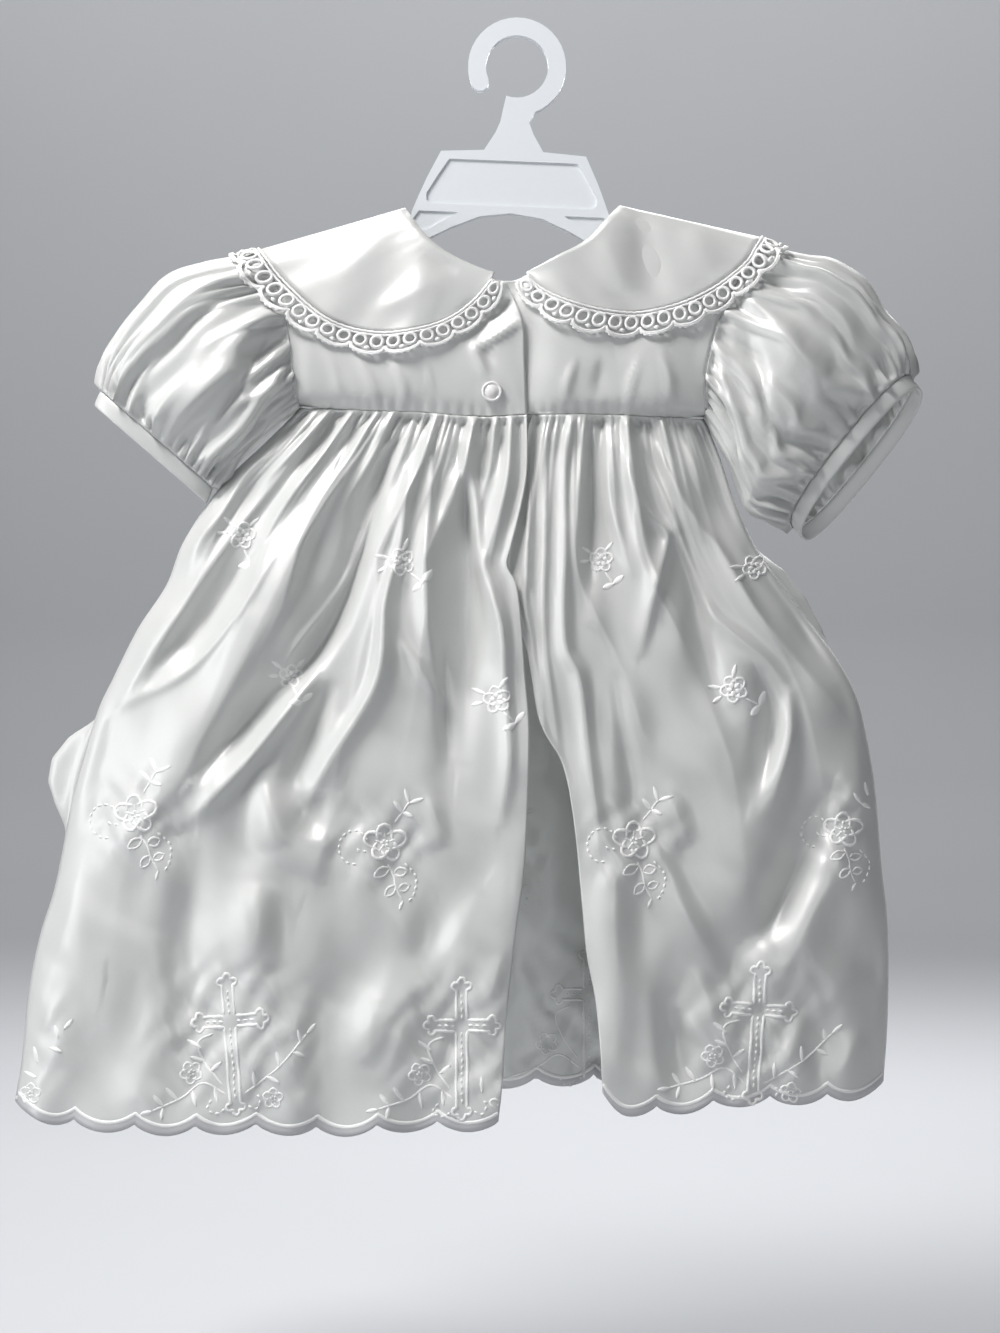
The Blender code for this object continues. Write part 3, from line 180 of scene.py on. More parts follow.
# Hem. The cloth is cut in scallops, and a thick stitched line follows them.
SCALLOP_DEPTH = 0.005
SCALLOP_POWER = 0.7         # lower makes a sharper cusp
SCALLOP_FROM = 0.93         # share of the length at which the cloth is drawn up
SCALLOPS_LEFT = 8
SCALLOPS_RIGHT = 5
SCALLOPS_FRONT = 15
HEM_BORDER = 0.0042         # cloth left beyond the stitched line
HEM_CUSP = 0.0012           # and this much more at a cusp
HEM_CORD = 0.0010           # half width of the stitched line
HEM_STEP = 0.0006           # from one stitch to the next
HEM_END = 0.002             # share of the hem left free at each end
HEM_RIDGE = 0.10            # how uneven the stitches are
HEM_LIFT = 0.0002
HEM_FLAT = 0.55
PAINTED_SHADE_FADE = 0.0004        # half width over which the painted shade beyond the hem cord comes in

# Pearl button. Columns: radius share, height, from the back of the button to the crown.
BUTTON_RADIUS = 0.0047
BUTTON_SIDES = 48
BUTTON_PROFILE = [(0.55, 0.0), (0.90, 0.4), (1.0, 1.1), (0.98, 1.7), (0.92, 2.2), (0.84, 2.4),
                  (0.76, 2.2), (0.70, 1.9), (0.62, 2.0), (0.45, 2.6), (0.25, 3.0), (0.02, 3.1)]

# Hanger, the solid itself with rounded edges.
HANGER_EDGE = 0.0006
HANGER_CORNER = 40          # degrees past which an edge is rounded

# Shape of the folds.
CREST_FALL = 2.2            # how fast the sharp crest of a ridge falls off
CREASE_CREST = 0.40         # share of a crease that is its sharp crest
SHARP_WIDTH = 4.0           # half width in mm up to which a crease has that share
CREASE_END = 0.06           # a crease's rise at each end is cut short by this share
CREASE_FADE = 0.8           # lower makes its ends blunter
CREASE_WIDTHS = (0.75, 1.25)    # of its stated half width, at its start and its end
PLEAT_CREST = 0.55          # share of a pleat that is its sharp crest
PLEAT_SPREAD = 2.2          # how much a pleat widens along the skirt
PLEAT_SHIFT = 0.28          # in pleats, how uneven their spacing is
PLEAT_WIDTHS = (0.24, 0.36)
PLEAT_DRIFT = 0.9
PLEAT_LENGTHS = (0.45, 1.35)
PLEAT_HEIGHTS = (0.55, 1.3)
PLEAT_LEVEL = 0.5           # share of their height that is taken off all round
PLEAT_EDGE = 0.03           # share of the width that stays flat at each edge
PLEAT_START = 0.012         # share of the length in which pleats rise at the seam
SEAM_FLAT = {BACK: 0.05, FRONT: 0.04}   # share of a skirt's width that is flat at a seam
FOLD_START = 0.05           # share of its length in which its creases rise
WAIST_CROWDING = 0.28       # how much closer its rows are at the waist
PUFF_BEND = 0.8
PUFF_FROM = -0.30           # the cloth gets more uneven below this height
PUFF_OVER = 0.10
PUFF_GROWTH = 0.6
QUILT_SIZE = 0.016          # of the mounds round a motif
QUILT_STRETCH = 1.25
QUILT_HEIGHT = 0.0012
QUILT_BEND = 0.7
QUILT_BENDS = (0.005, 0.004)
CROSS_REACH = 36            # of the mounds, in mm from a motif's middle
SPRAY_REACH = 22
YOKE_SMOOTHING = 40
YOKE_PUFF = 0.45            # share of the skirt's unevenness
YOKE_SIDES = 0.06           # share of its width that stays even at each side
YOKE_TOP = 0.2              # share of its length that stays even at the top
YOKE_PUCKER = 0.0003        # puckers along the waist seam
PUCKER_PITCH = 0.0052
PUCKER_DRIFT = 0.013
PUCKER_BEND = 3
PUCKER_FROM = 0.86
PUCKER_OVER = 0.12

# Creases, ridges (height over 0) and troughs (below 0), each along a line from top to bottom.
# Columns: half width, height, lean (over 0 is steeper on the right), then the line's x, z.
CREASES_LEFT = [
    (4.0, 3.5, 0.3, [(-99, -172), (-121, -195), (-136, -218), (-150, -231)]),
    (3.5, -3.0, 0.0, [(-97, -176), (-117, -199), (-134, -226), (-146, -244)]),
    (4.5, 4.1, -0.2, [(-103, -174), (-130, -200), (-145, -227), (-154, -243)]),
    (5.0, 4.6, 0.3, [(-91, -177), (-112, -204), (-127, -222), (-143, -245), (-161, -272),
                     (-181, -303)]),
    (2.2, 2.3, 0.0, [(-109, -233), (-125, -258), (-148, -285), (-179, -301)]),
    (4.5, -4.1, 0.2, [(-100, -210), (-124, -240), (-140, -262), (-166, -288)]),
    (11.0, 6.8, 0.3, [(-85, -200), (-98, -227), (-125, -281), (-148, -326), (-175, -366),
                      (-184, -411)]),
    (6.5, -10.8, 0.3, [(-58, -184), (-67, -218), (-78, -254), (-94, -281), (-112, -299),
                      (-143, -330)]),
    (1.8, 3.5, 0.0, [(-64, -209), (-78, -245), (-98, -272), (-107, -287)]),
    (3.2, 4.1, 0.0, [(-55, -177), (-64, -191), (-70, -204)]),
    (4.5, 4.6, 0.2, [(-40, -177), (-39, -200), (-42, -236), (-40, -272), (-35, -294)]),
    (4.5, 6.8, -0.3, [(-49, -195), (-53, -227), (-60, -254), (-64, -290), (-85, -326),
                      (-94, -344)]),
    (4.5, 6.8, 0.3, [(-91, -287), (-107, -308), (-125, -330), (-148, -353)]),
    (5.0, -6.1, 0.0, [(-85, -294), (-103, -338)]),
    (3.5, 3.5, 0.0, [(-53, -272), (-35, -299)]),
    (8.0, -7.4, 0.2, [(-26, -215), (-22, -262), (-27, -326)]),
    (3.0, -3.4, 0.0, [(-35, -276), (-31, -326)]),
    (4.0, 5.1, 0.2, [(-24, -177), (-19, -209), (-17, -236), (-8, -263), (-6, -290), (-4, -326),
                     (-8, -353)]),
    (3.0, -4.1, 0.0, [(-27, -186), (-22, -225), (-14, -272)]),
    (8.0, 4.3, 0.0, [(-114, -335), (-109, -366)]),
    (8.8, 5.1, 0.2, [(-80, -340), (-94, -380)]),
    (10.4, 4.6, 0.0, [(-116, -380), (-119, -420)]),
    (11.2, 4.9, -0.2, [(-17, -386), (-35, -420), (-53, -440)]),
    (8.0, 3.5, 0.0, [(-8, -414), (-17, -452)]),
    (7.2, 3.2, 0.0, [(-64, -436), (-69, -463)]),
    (8.8, -4.9, 0.0, [(-89, -340), (-92, -362)]),
    (12.8, -5.7, 0.2, [(-146, -364), (-151, -411), (-139, -454)]),
    (12.8, -5.4, 0.0, [(-82, -440), (-66, -420), (-50, -404)]),
    (5.8, 3.8, 0.0, [(-40, -342), (-35, -366)]),
    (12.0, 3.5, 0.0, [(-196, -380), (-198, -430), (-202, -464)]),
    (9.6, -3.5, 0.0, [(-170, -420), (-172, -450), (-168, -478)]),
    (9.6, 3.0, 0.0, [(-100, -436), (-104, -474)]),
    (8.0, -3.0, 0.0, [(-30, -440), (-34, -474)]),
]
CREASES_RIGHT = [
    (1.3, 2.6, 0.0, [(6, -186), (4, -237), (3, -254), (6, -271), (10, -300)]),
    (1.6, 2.0, 0.0, [(13, -178), (12, -228), (12, -272), (18, -320)]),
    (4.0, 5.4, 0.2, [(21, -178), (21, -228), (21, -272), (28, -290), (32, -326), (37, -366)]),
    (9.0, 4.6, 0.0, [(43, -368), (44, -410), (44, -462)]),
    (3.4, -4.3, 0.0, [(32, -178), (32, -227), (30, -258)]),
    (3.2, 3.8, 0.0, [(40, -180), (42, -209), (48, -231), (51, -240)]),
    (3.6, 4.9, 0.3, [(46, -184), (55, -209), (66, -222), (67, -229), (62, -249), (55, -276)]),
    (3.0, 3.5, 0.2, [(55, -184), (68, -213), (77, -236), (86, -258), (95, -267), (109, -278),
                     (119, -289)]),
    (3.6, 4.6, 0.3, [(62, -184), (77, -213), (91, -231), (107, -258), (122, -276), (143, -301)]),
    (3.0, 3.2, 0.0, [(73, -177), (84, -206)]),
    (5.0, -6.8, 0.0, [(72, -226), (79, -250), (82, -272), (93, -302)]),
    (5.0, -6.1, 0.2, [(109, -288), (114, -303), (111, -326), (106, -342)]),
    (4.2, 5.4, 0.0, [(122, -296), (122, -317), (115, -342)]),
    (6.1, 3.5, 0.0, [(68, -342), (77, -364)]),
    (8.0, 5.4, 0.3, [(66, -371), (77, -398), (92, -422)]),
    (9.0, -8.1, 0.2, [(140, -342), (118, -389), (100, -416), (108, -436)]),
    (10.0, 6.5, 0.0, [(147, -368), (131, -398), (118, -427), (112, -440)]),
    (8.8, 3.8, 0.0, [(154, -448), (140, -474)]),
    (7.2, 4.1, 0.0, [(59, -432), (62, -461), (66, -483)]),
    (8.0, -4.1, 0.0, [(70, -436), (76, -476)]),
    (5.0, -3.5, 0.0, [(44, -290), (50, -330), (55, -360)]),
    (8.0, 3.2, 0.0, [(128, -446), (124, -474)]),
    (4.0, -3.2, 0.0, [(104, -232), (124, -256), (140, -284)]),
]
CREASES_FRONT = [
    (5.0, 4.6, 0.2, [(-84, -176), (-112, -214), (-136, -252), (-166, -298), (-186, -340)]),
    (6.0, -6.8, 0.0, [(-70, -180), (-92, -226), (-112, -268), (-140, -322)]),
    (5.0, 5.7, 0.2, [(-54, -178), (-64, -220), (-78, -268), (-104, -330)]),
    (2.4, 3.0, 0.0, [(-60, -210), (-74, -250), (-92, -290)]),
    (5.5, -6.8, 0.0, [(-36, -182), (-42, -226), (-46, -276), (-62, -330)]),
    (4.5, 5.4, 0.0, [(-22, -178), (-20, -226), (-24, -276), (-30, -322)]),
    (5.0, -5.7, 0.0, [(-4, -182), (-2, -232), (4, -288)]),
    (4.5, 5.7, -0.2, [(12, -178), (16, -226), (20, -276), (14, -330)]),
    (5.5, -6.8, 0.0, [(30, -182), (40, -228), (46, -272), (60, -324)]),
    (4.5, 5.7, -0.2, [(46, -178), (60, -222), (78, -262), (96, -316)]),
    (5.5, -6.2, 0.0, [(62, -180), (82, -222), (104, -262), (124, -306)]),
    (4.5, 4.3, 0.0, [(76, -178), (98, -216), (124, -254), (144, -296)]),
    (9.0, 5.9, 0.0, [(-160, -360), (-166, -400), (-172, -450)]),
    (11.2, -5.9, 0.0, [(-130, -350), (-128, -396), (-140, -446)]),
    (12.8, 5.9, 0.0, [(-96, -366), (-100, -410), (-94, -458)]),
    (11.2, -5.1, 0.0, [(-64, -372), (-58, -414), (-66, -456)]),
    (11.2, 5.4, 0.0, [(-32, -356), (-40, -400), (-34, -452)]),
    (11.2, -5.1, 0.0, [(2, -368), (-4, -412), (4, -458)]),
    (12.8, 5.7, 0.0, [(36, -360), (30, -406), (38, -452)]),
    (11.2, -5.4, 0.0, [(68, -366), (74, -408), (66, -450)]),
    (12.8, 5.7, 0.0, [(100, -350), (94, -398), (102, -448)]),
    (11.2, -4.3, 0.0, [(130, -366), (128, -410), (134, -444)]),
]
# Pleats at a gathered seam. Columns: count, height, share of the length that they reach, seed.
PLEATS_LEFT = [(25, 2.2, 0.035, 2), (19, 3.0, 0.10, 3), (11, 4.8, 0.36, 5), (6, 4.2, 0.75, 6)]
PLEATS_RIGHT = [(19, 2.2, 0.035, 8), (15, 3.0, 0.10, 7), (8, 4.8, 0.36, 9), (5, 4.0, 0.75, 10)]
PLEATS_FRONT = [(48, 2.2, 0.035, 12), (36, 3.0, 0.10, 11), (19, 4.6, 0.36, 13), (9, 4.0, 0.75, 14)]
# Soft unevenness of the satin. Columns: height, length of the waves along x and z, turn, shift.
PUFFS = [(1.5, 56, 150, 0.30, 0.2), (1.0, 36, 120, -0.25, 1.7), (0.3, 24, 60, 0.3, 3.1)]

# Grids of the cloth: columns, rows.
LEFT_GRID = (200, 200)
RIGHT_GRID = (150, 190)
FRONT_GRID = (220, 160)
ARMHOLE_STEPS = 44
SLEEVE_SPLIT = 2
SLEEVE_GRID_ROWS = 70
YOKE_COLUMNS = (28, 52)     # along the shoulder, along the neck
COLLAR_COLUMNS = 110        # from the centre to the shoulder
COLLAR_ROWS = 22
LACE_GRID_ROWS = 7

# Cuts in metres: width and length, and the flat area where the cut isn't a rectangle.
CUT_SKIRT_LEFT = (0.250, 0.330)
CUT_SKIRT_RIGHT = (0.175, 0.325)
CUT_SKIRT_FRONT = (0.420, 0.330)

# Creases of the bodice and the collar, with the same columns as those of the skirt.
CREASES_YOKE = [
    (2.6, 1.4, 0.0, [(-72, -146), (-66, -156), (-64, -165)]),
    (2.6, 1.4, 0.0, [(-57, -146), (-52, -156), (-50, -166)]),
    (2.4, 1.2, 0.0, [(-87, -142), (-82, -152), (-80, -162)]),
    (2.2, 1.1, 0.0, [(-42, -148), (-38, -158)]),
    (1.5, 3.2, 0.0, [(2, -128), (-9, -134), (-20, -141)]),
    (7.0, -4.2, 0.0, [(0, -110), (-11, -122), (-24, -131)]),
    (2.4, 1.6, 0.0, [(-21, -139), (-17, -147), (-14, -154)]),
    (2.6, -1.4, 0.0, [(-16, -138), (-11, -148)]),
    (2.4, 1.5, 0.0, [(26, -146), (22, -156), (21, -164)]),
    (2.8, 1.6, 0.0, [(55, -146), (51, -156), (50, -166)]),
    (2.4, 1.4, 0.0, [(64, -142), (68, -154), (68, -164)]),
    (3.0, -1.2, 0.0, [(38, -146), (36, -160)]),
]
CREASES_COLLAR = [
    (9.0, 1.8, 0.0, [(-58, -90), (-74, -106), (-82, -118)]),
    (6.0, 1.4, 0.0, [(-62, -124), (-50, -120), (-36, -112)]),
    (4.0, -1.4, 0.0, [(-40, -97), (-32, -103), (-26, -104)]),
    (8.0, 1.6, 0.0, [(38, -92), (44, -108), (46, -118)]),
    (7.0, -2.0, 0.0, [(54, -80), (58, -104), (62, -120)]),
    (9.0, 1.4, 0.0, [(78, -86), (82, -98), (88, -108)]),
]
# Creases of the sleeves. Columns: half width, height, then share of the length and turn
# (0 is the top, 0.25 the back, 0.5 the underarm) from start to end.
CREASES_SLEEVE_LEFT = [
    (3.6, 4.3, [(0.05, 0.10), (0.45, 0.13), (0.92, 0.12)]),
    (3.2, -3.5, [(0.08, 0.15), (0.5, 0.18), (0.92, 0.17)]),
    (4.2, 4.9, [(0.04, 0.20), (0.4, 0.26), (0.94, 0.24)]),
    (3.0, -3.8, [(0.10, 0.26), (0.5, 0.31), (0.95, 0.30)]),
    (3.8, 4.1, [(0.05, 0.31), (0.5, 0.37), (0.94, 0.35)]),
    (3.0, -2.9, [(0.12, 0.38), (0.55, 0.42), (0.94, 0.41)]),
    (3.8, 4.1, [(0.05, 0.62), (0.5, 0.66), (0.94, 0.64)]),
    (3.2, -3.5, [(0.10, 0.70), (0.5, 0.73), (0.94, 0.71)]),
    (4.0, 4.3, [(0.05, 0.78), (0.5, 0.80), (0.94, 0.79)]),
    (3.2, -3.2, [(0.10, 0.85), (0.5, 0.87), (0.94, 0.86)]),
    (3.6, 3.5, [(0.05, 0.92), (0.5, 0.93), (0.94, 0.94)]),
]
CREASES_SLEEVE_RIGHT = [
    (4.0, 4.6, [(0.06, 0.07), (0.40, 0.09), (0.95, 0.06)]),
    (3.4, -4.1, [(0.10, 0.13), (0.45, 0.16), (0.95, 0.14)]),
    (4.2, 4.9, [(0.05, 0.18), (0.45, 0.23), (0.95, 0.20)]),
    (3.2, -4.3, [(0.10, 0.24), (0.5, 0.30), (0.96, 0.27)]),
    (4.4, 4.6, [(0.04, 0.30), (0.45, 0.37), (0.95, 0.33)]),
    (3.0, -3.2, [(0.10, 0.36), (0.5, 0.43), (0.94, 0.40)]),
    (3.8, 4.1, [(0.05, 0.60), (0.5, 0.64), (0.94, 0.63)]),
    (3.2, -3.5, [(0.10, 0.69), (0.5, 0.72), (0.94, 0.70)]),
    (4.0, 4.3, [(0.05, 0.77), (0.5, 0.79), (0.94, 0.80)]),
    (3.2, -3.2, [(0.10, 0.86), (0.5, 0.88), (0.94, 0.87)]),
]
CREASE_DIP = 0.12           # share of a ridge's height that is missing beside it
DIP_SPREAD = 2.6
SLEEVE_RISE = (0.02, 0.12)  # shares of a crease: how early it starts to rise, and for how long
SLEEVE_FALL = (0.06, 0.14)  # and how late it has fallen, and for how long
PLEATS_CAP = [(44, 2.0, 0.20, 21), (30, 3.4, 0.50, 23), (16, 4.0, 1.3, 25)]
PLEATS_CUFF = [(52, 2.4, 0.16, 27), (34, 4.2, 0.42, 29), (18, 4.4, 1.2, 31)]
SLEEVE_SPREAD = 0.5
SLEEVE_SLIM = 0.62          # width of a sleeve's pleats against a skirt's

# Lace, across its width: 0 is the collar's edge and 1 the tips.
LACE_REPEATS = 10           # scallops on half a collar, centre to shoulder
HEADING_ROWS = (0.05, 0.17)
HEADING_BARS = 4            # to a repeat
HEADING_WAVE = 0.012
RING_AT = 0.43
RING_RADIUS = 0.0027
RING_SHARES = (0.25, 0.75)  # of a repeat
RING_SIDES = 16
ARC_FOOT = 0.60
ARC_TIP = 0.90
ARC_HALF = 0.47             # of a repeat
ARC_NEXT = 0.055            # how far out the second arc lies
DOT_AT = 0.72
DOT_HALF = 0.09             # of a repeat
DOT_RADIUS = 0.0010
DOT_SHAPE = (0.3, 0.8, 1.0, 0.8, 0.3)
ARC_POWER = 0.8
BAR_LEAN = 0.6              # a bar leans to the dot, below 1
CORD = 0.00060              # half width of the heading's cord
BAR_CORD = 0.8 * CORD
RING_CORD = 1.4 * CORD
ARC_CORD = 1.1 * CORD
PICOT_CORD = 0.7 * CORD
PICOT_RADIUS = 0.00075
PICOT_AT = 0.075            # how far past the arc's tip
PICOT_FLAT = 0.6
PICOT_SIDES = 7
PICOTS = 9

# Embroidery. Columns: x, z, turn in degrees, size share.
SPRIGS_BACK = [(-125, -227, -20, 1.25), (-52, -239, 10, 1.25), (37, -238, -10, 1.12),
               (107, -241, 24, 1.12), (-9.5, -301, 0, 1.25), (98, -296, 20, 1.25),
               (-103, -290, -15, 1.12)]
SPRAYS_BACK = [(-172, -350, 5, 1.0), (-60, -363, 0, 1.0), (52, -362, 0, 1.0),
               (146, -357, -4, 0.9)]
CROSSES_BACK = [(-238, -450, 4, 1.0), (-129, -452, 4, 1.0), (-25.3, -454, 0, 1.0),
                (107.5, -447, -4, 1.0)]
SPRIGS_FRONT = [(-120, -232, -18, 1.25), (-66, -244, -8, 1.25), (-8, -240, 0, 1.25),
                (54, -244, 8, 1.25), (108, -240, 20, 1.25), (-92, -300, -8, 1.25),
                (-34, -306, 0, 1.25), (26, -306, 0, 1.25), (84, -298, 10, 1.25)]
SPRAYS_FRONT = [(-160, -352, 12, 1.0), (-92, -364, 5, 1.0), (-10, -368, 0, 1.0),
                (72, -362, -5, 1.0), (134, -348, -10, 0.9)]
CROSSES_FRONT = [(-150, -440, 4, 1.0), (-58, -442, 0, 1.0), (32, -440, 0, 1.0),
                 (118, -436, -4, 0.95)]
CLOTH_JUMP = 0.006          # a larger step in depth means another layer of cloth
FIRST_DEPTH = 0.02          # where a first look for the cloth starts
STITCH = 0.0021             # length of a running stitch
STITCH_GAP = 0.0009
THREAD = 0.00062            # half width of a plain line
STITCH_LIFT = THREAD * 0.6  # from the cloth to a stitch's middle
EDGE_CORD = 0.00085         # half width of a satin-stitched outline
CORD_LIFT = EDGE_CORD * 0.3
SPRIG_CORD = 0.00075        # of a sprig's outlines
CORD_STEP = 0.00100
CORD_RIDGE = 0.12
CORD_FLAT = 0.8
TINY = 1e-12
TAPER = 0.25                # width of a cord's ends against its middle
PETAL_ROOT = 0.18
PETAL_POWER = 0.6
LEAF_END = 0.06             # a filled leaf's ends are blunt by this share
LEAF_POWER = 0.8
FLOWER_HEART = 0.6          # where a filled flower's petals start, in mm
FLOWER_PETAL = 0.52         # half width of a petal against its reach
PAD_HEIGHT = 0.0009
PAD_FOOT = 0.00005
PAD_GRID = (9, 5)

# Motifs, in millimetres from their middle.
# Columns of the leaves: root, tip; of the loops: root, tip, half width.
SPRIG_LEAVES = [((-4, 4), (-9, 6)), ((-5, 1), (-9, 0)), ((1, 6), (3.5, 10))]
SPRAY_PETALS = [(10.0, 3.6), (8.5, 3.4), (9.5, 3.8), (8.0, 3.2), (8.8, 3.4)]
SPRAY_LOOPS = [((2, -11), (-5, -15), 2.0), ((4, -14), (10, -12), 2.0),
               ((5, -19), (0, -24), 1.8), ((6, -21), (11, -19), 1.7)]
CROSS_BAR = 2.4             # half width
CROSS_HEART = 9.0           # height of the crossing
CROSS_ARMS = [(0, 1, 17), (0, -1, 38), (1, 0, 13), (-1, 0, 13)]     # direction, reach
CROSS_BUDS = (-75, 0, 75)   # degrees off the arm
CROSS_LEAVES_LEFT = [((-9, -20), (-8, -27)), ((-19, -21), (-18, -28)), ((-26, -25), (-31, -19)),
                     ((-33, -27), (-37, -22)), ((-38, -29), (-43, -30)),
                     ((-33, -28), (-34, -33)), ((-13, -8), (-19, -6)), ((-14, -2), (-20, 2)),
                     ((-10, -13), (-5, -9))]
CROSS_LEAVES_RIGHT = [((9, -21), (9, -14)), ((15, -17), (20, -20)), ((21, -13), (20, -6)),
                      ((27, -7), (32, -9)), ((31, -3), (30, 3)), ((34, 1), (38, 5))]

# Finishes.
SHEEN_ROUGHNESS = 0.4
GRAIN_DETAIL = 3.0
GRAIN_DEPTH = 0.0003

# Studio.
LENS = 69.0
SENSOR = 36.0
FLOOR_Z = -0.62
BACKDROP_HALF = 5.0         # half width
BACKDROP = [(-3.0, 0.0), (2.0, 0.0), (2.25, 0.05), (2.42, 0.18), (2.5, 0.40), (2.5, 3.0)]
# Columns: name, place, aimed at, size, power, colour.
LAMPS = [
    ("key", (-0.60, -0.50, 0.75), (0.0, 0.0, -0.30), (0.50, 0.30), 18, (1.0, 0.99, 0.97)),
    ("side", (-1.2, -0.40, -0.2), (0.0, 0.0, -0.3), (0.35, 1.0), 5.0, (0.97, 0.98, 1.0)),
    ("fill", (0.4, -1.7, -0.1), (0.0, 0.0, -0.3), (0.8, 0.8), 3.6, (0.97, 0.98, 1.0)),
    ("behind", (0.2, 0.9, 0.5), (0.0, 0.0, -0.3), (1.0, 1.0), 16, (1.0, 1.0, 1.0)),
    ("backdrop", (0.0, 1.2, 1.9), (0.0, 2.5, 0.0), (3.0, 0.5), 42, (1.0, 1.0, 1.0)),
]
SKY = (0.75, 0.77, 0.80, 1)
SKY_STRENGTH = 0.13


def smooth_path(rows, steps=16):
    """Close points on a smooth curve through the rows of a table, in metres."""
    points = np.array(rows, float) * MM
    ends = np.vstack([2 * points[0] - points[1], points, 2 * points[-1] - points[-2]])
    t = np.linspace(0, 1, steps, endpoint=False)[:, None]
    parts = []
    for a, b, c, d in zip(ends[:-3], ends[1:-2], ends[2:-1], ends[3:]):
        bend = (2 * a - 5 * b + 4 * c - d) * t ** 2
        twist = (3 * b - a - 3 * c + d) * t ** 3
        parts.append(0.5 * (2 * b + (c - a) * t + bend + twist))
    parts.append(points[-1:])
    return np.vstack(parts)


def points_along(path, shares):
    """Points of a path at the given shares of its length."""
    steps = np.linalg.norm(np.diff(path, axis=0), axis=1)
    length = np.concatenate([[0], np.cumsum(steps)]) / steps.sum()
    return np.stack([np.interp(shares, length, column) for column in path.T], axis=-1)


def edge_points(rows, shares):
    """Points of a table's smooth curve at the given shares of its length."""
    return points_along(smooth_path(rows), shares)


def fill_patch(top, bottom, left, right, across, down):
    """Grid between four edge curves (a Coons patch), rows from top to bottom."""
    u = across[None, :, None]
    v = down[:, None, None]
    ruled_down = (1 - v) * top[None] + v * bottom[None]
    ruled_across = (1 - u) * left[:, None] + u * right[:, None]
    corners = ((1 - u) * (1 - v) * top[0] + u * (1 - v) * top[-1]
               + (1 - u) * v * bottom[0] + u * v * bottom[-1])
    return ruled_down + ruled_across - corners


def column(table, key, index):
    """A table's column, read at the heights given in key; both are in metres."""
    rows = np.array(table, float) * MM
    order = np.argsort(rows[:, 0])
    return np.interp(key, rows[order, 0], rows[order, index])


def smooth_step(value):
    """0 below 0, 1 above 1 and a soft rise between."""
    t = np.clip(value, 0, 1)
    return t * t * (3 - 2 * t)


def side_x(rows, z):
    """Where a side seam lies at the heights z."""
    path = smooth_path(rows)
    order = np.argsort(path[:, 1])
    return np.interp(z, path[order, 1], path[order, 0])


def skirt_depth(x, z, side):
    """How far the body stands off its side seams at a place, outwards."""
    left = side_x(SIDE_LEFT, z)
    right = side_x(SIDE_RIGHT, z)
    share = np.clip((x - left) / (right - left), 0, 1)
    lens = np.sqrt(1 - np.abs(2 * share - 1) ** LENS_POWER)
    return column(SKIRT_DEPTH, z, 1 if side == BACK else 2) * lens


def lap_raise(x):
    """Extra height of the left half where it lies over the right one."""
    return LAP_RAISE * smooth_step((x + LAP_WIDTH) / LAP_WIDTH)


def place_in_depth(x, outward, z, side):
    """Real place of a point seen at x, z that stands outward from the middle plane."""
    y = side * outward
    scale = 1 + y / VIEW_DISTANCE
    return np.stack([VIEW_CENTRE_X + (x - VIEW_CENTRE_X) * scale, y,
                     VIEW_CENTRE_Z + (z - VIEW_CENTRE_Z) * scale], axis=-1)


def outward_normals(grid, side, closed=False):
    """Unit normals of a grid of points, pointing to the outer side."""
    if closed:
        across = np.roll(grid, -1, axis=1) - np.roll(grid, 1, axis=1)
    else:
        across = np.gradient(grid, axis=1)
    normal = side * np.cross(across, np.gradient(grid, axis=0))
    return normal / np.linalg.norm(normal, axis=2, keepdims=True)


def scallop_cusps(across, count):
    """1 at the cusps between a hem's scallops, 0 at their tips."""
    return 1 - np.abs(np.sin(math.pi * count * across)) ** SCALLOP_POWER


def hem_scallops(across, down, count):
    """How far the hem's cusps are drawn up between its scallops."""
    drawn = smooth_step((down - SCALLOP_FROM) / (1 - SCALLOP_FROM))
    return SCALLOP_DEPTH * scallop_cusps(across, count) * drawn


def roll_out(u, z, table):
    """How far the front skirt swells past a side seam."""
    return column(table, z, 1) * np.sin(math.pi * np.clip(u / ROLL_SHARE, 0, 1))


def armhole_shares():
    """Shares of half an armhole, closer together at the shoulder and the underarm."""
    t = np.linspace(0, 1, ARMHOLE_STEPS + 1)
    return 0.5 * (t + 0.5 - 0.5 * np.cos(math.pi * t))


def armhole_points(rows):
    """Points of half an armhole, from shoulder to underarm: x, outward, z."""
    points = edge_points(rows, armhole_shares())
    points[[0, -1], 1] = HALF_GAP
    return points


def ring_inward(ring, toward):
    """Unit steps from a ring's points to its inside, across the ring's own line."""
    tangent = np.roll(ring, -1, axis=0) - np.roll(ring, 1, axis=0)
    step = np.cross(tangent, toward)
    step /= np.linalg.norm(step, axis=1, keepdims=True)
    centre = ring.mean(axis=0)
    facing = np.sum(step * (centre - ring), axis=1, keepdims=True)
    return step * np.where(facing < 0, -1, 1)


def armhole_ring(rows):
    """The whole armhole as a ring: back half down, then front half up."""
    half = armhole_points(rows)
    back = place_in_depth(half[:, 0], half[:, 1], half[:, 2], BACK)
    front = place_in_depth(half[:, 0], half[:, 1], half[:, 2], FRONT)
    return np.vstack([back, front[::-1]])


def joined(first, second, count_first, count_second):
    """Points along two curves that share an end."""
    one = edge_points(first, np.linspace(0, 1, count_first + 1))
    two = edge_points(second, np.linspace(0, 1, count_second + 1))
    return np.vstack([one, two[1:]])


def bodice_bottom(rows, count, side, extra=None):
    """Bottom edge of a yoke at the waist seam: x, outward, z."""
    flat = edge_points(rows, np.linspace(0, 1, count + 1))
    outward = np.maximum(skirt_depth(flat[:, 0], flat[:, 1], side), HALF_GAP)
    if extra is not None:
        outward = outward + extra(flat[:, 0])
    return np.stack([flat[:, 0], outward, flat[:, 1]], axis=-1)


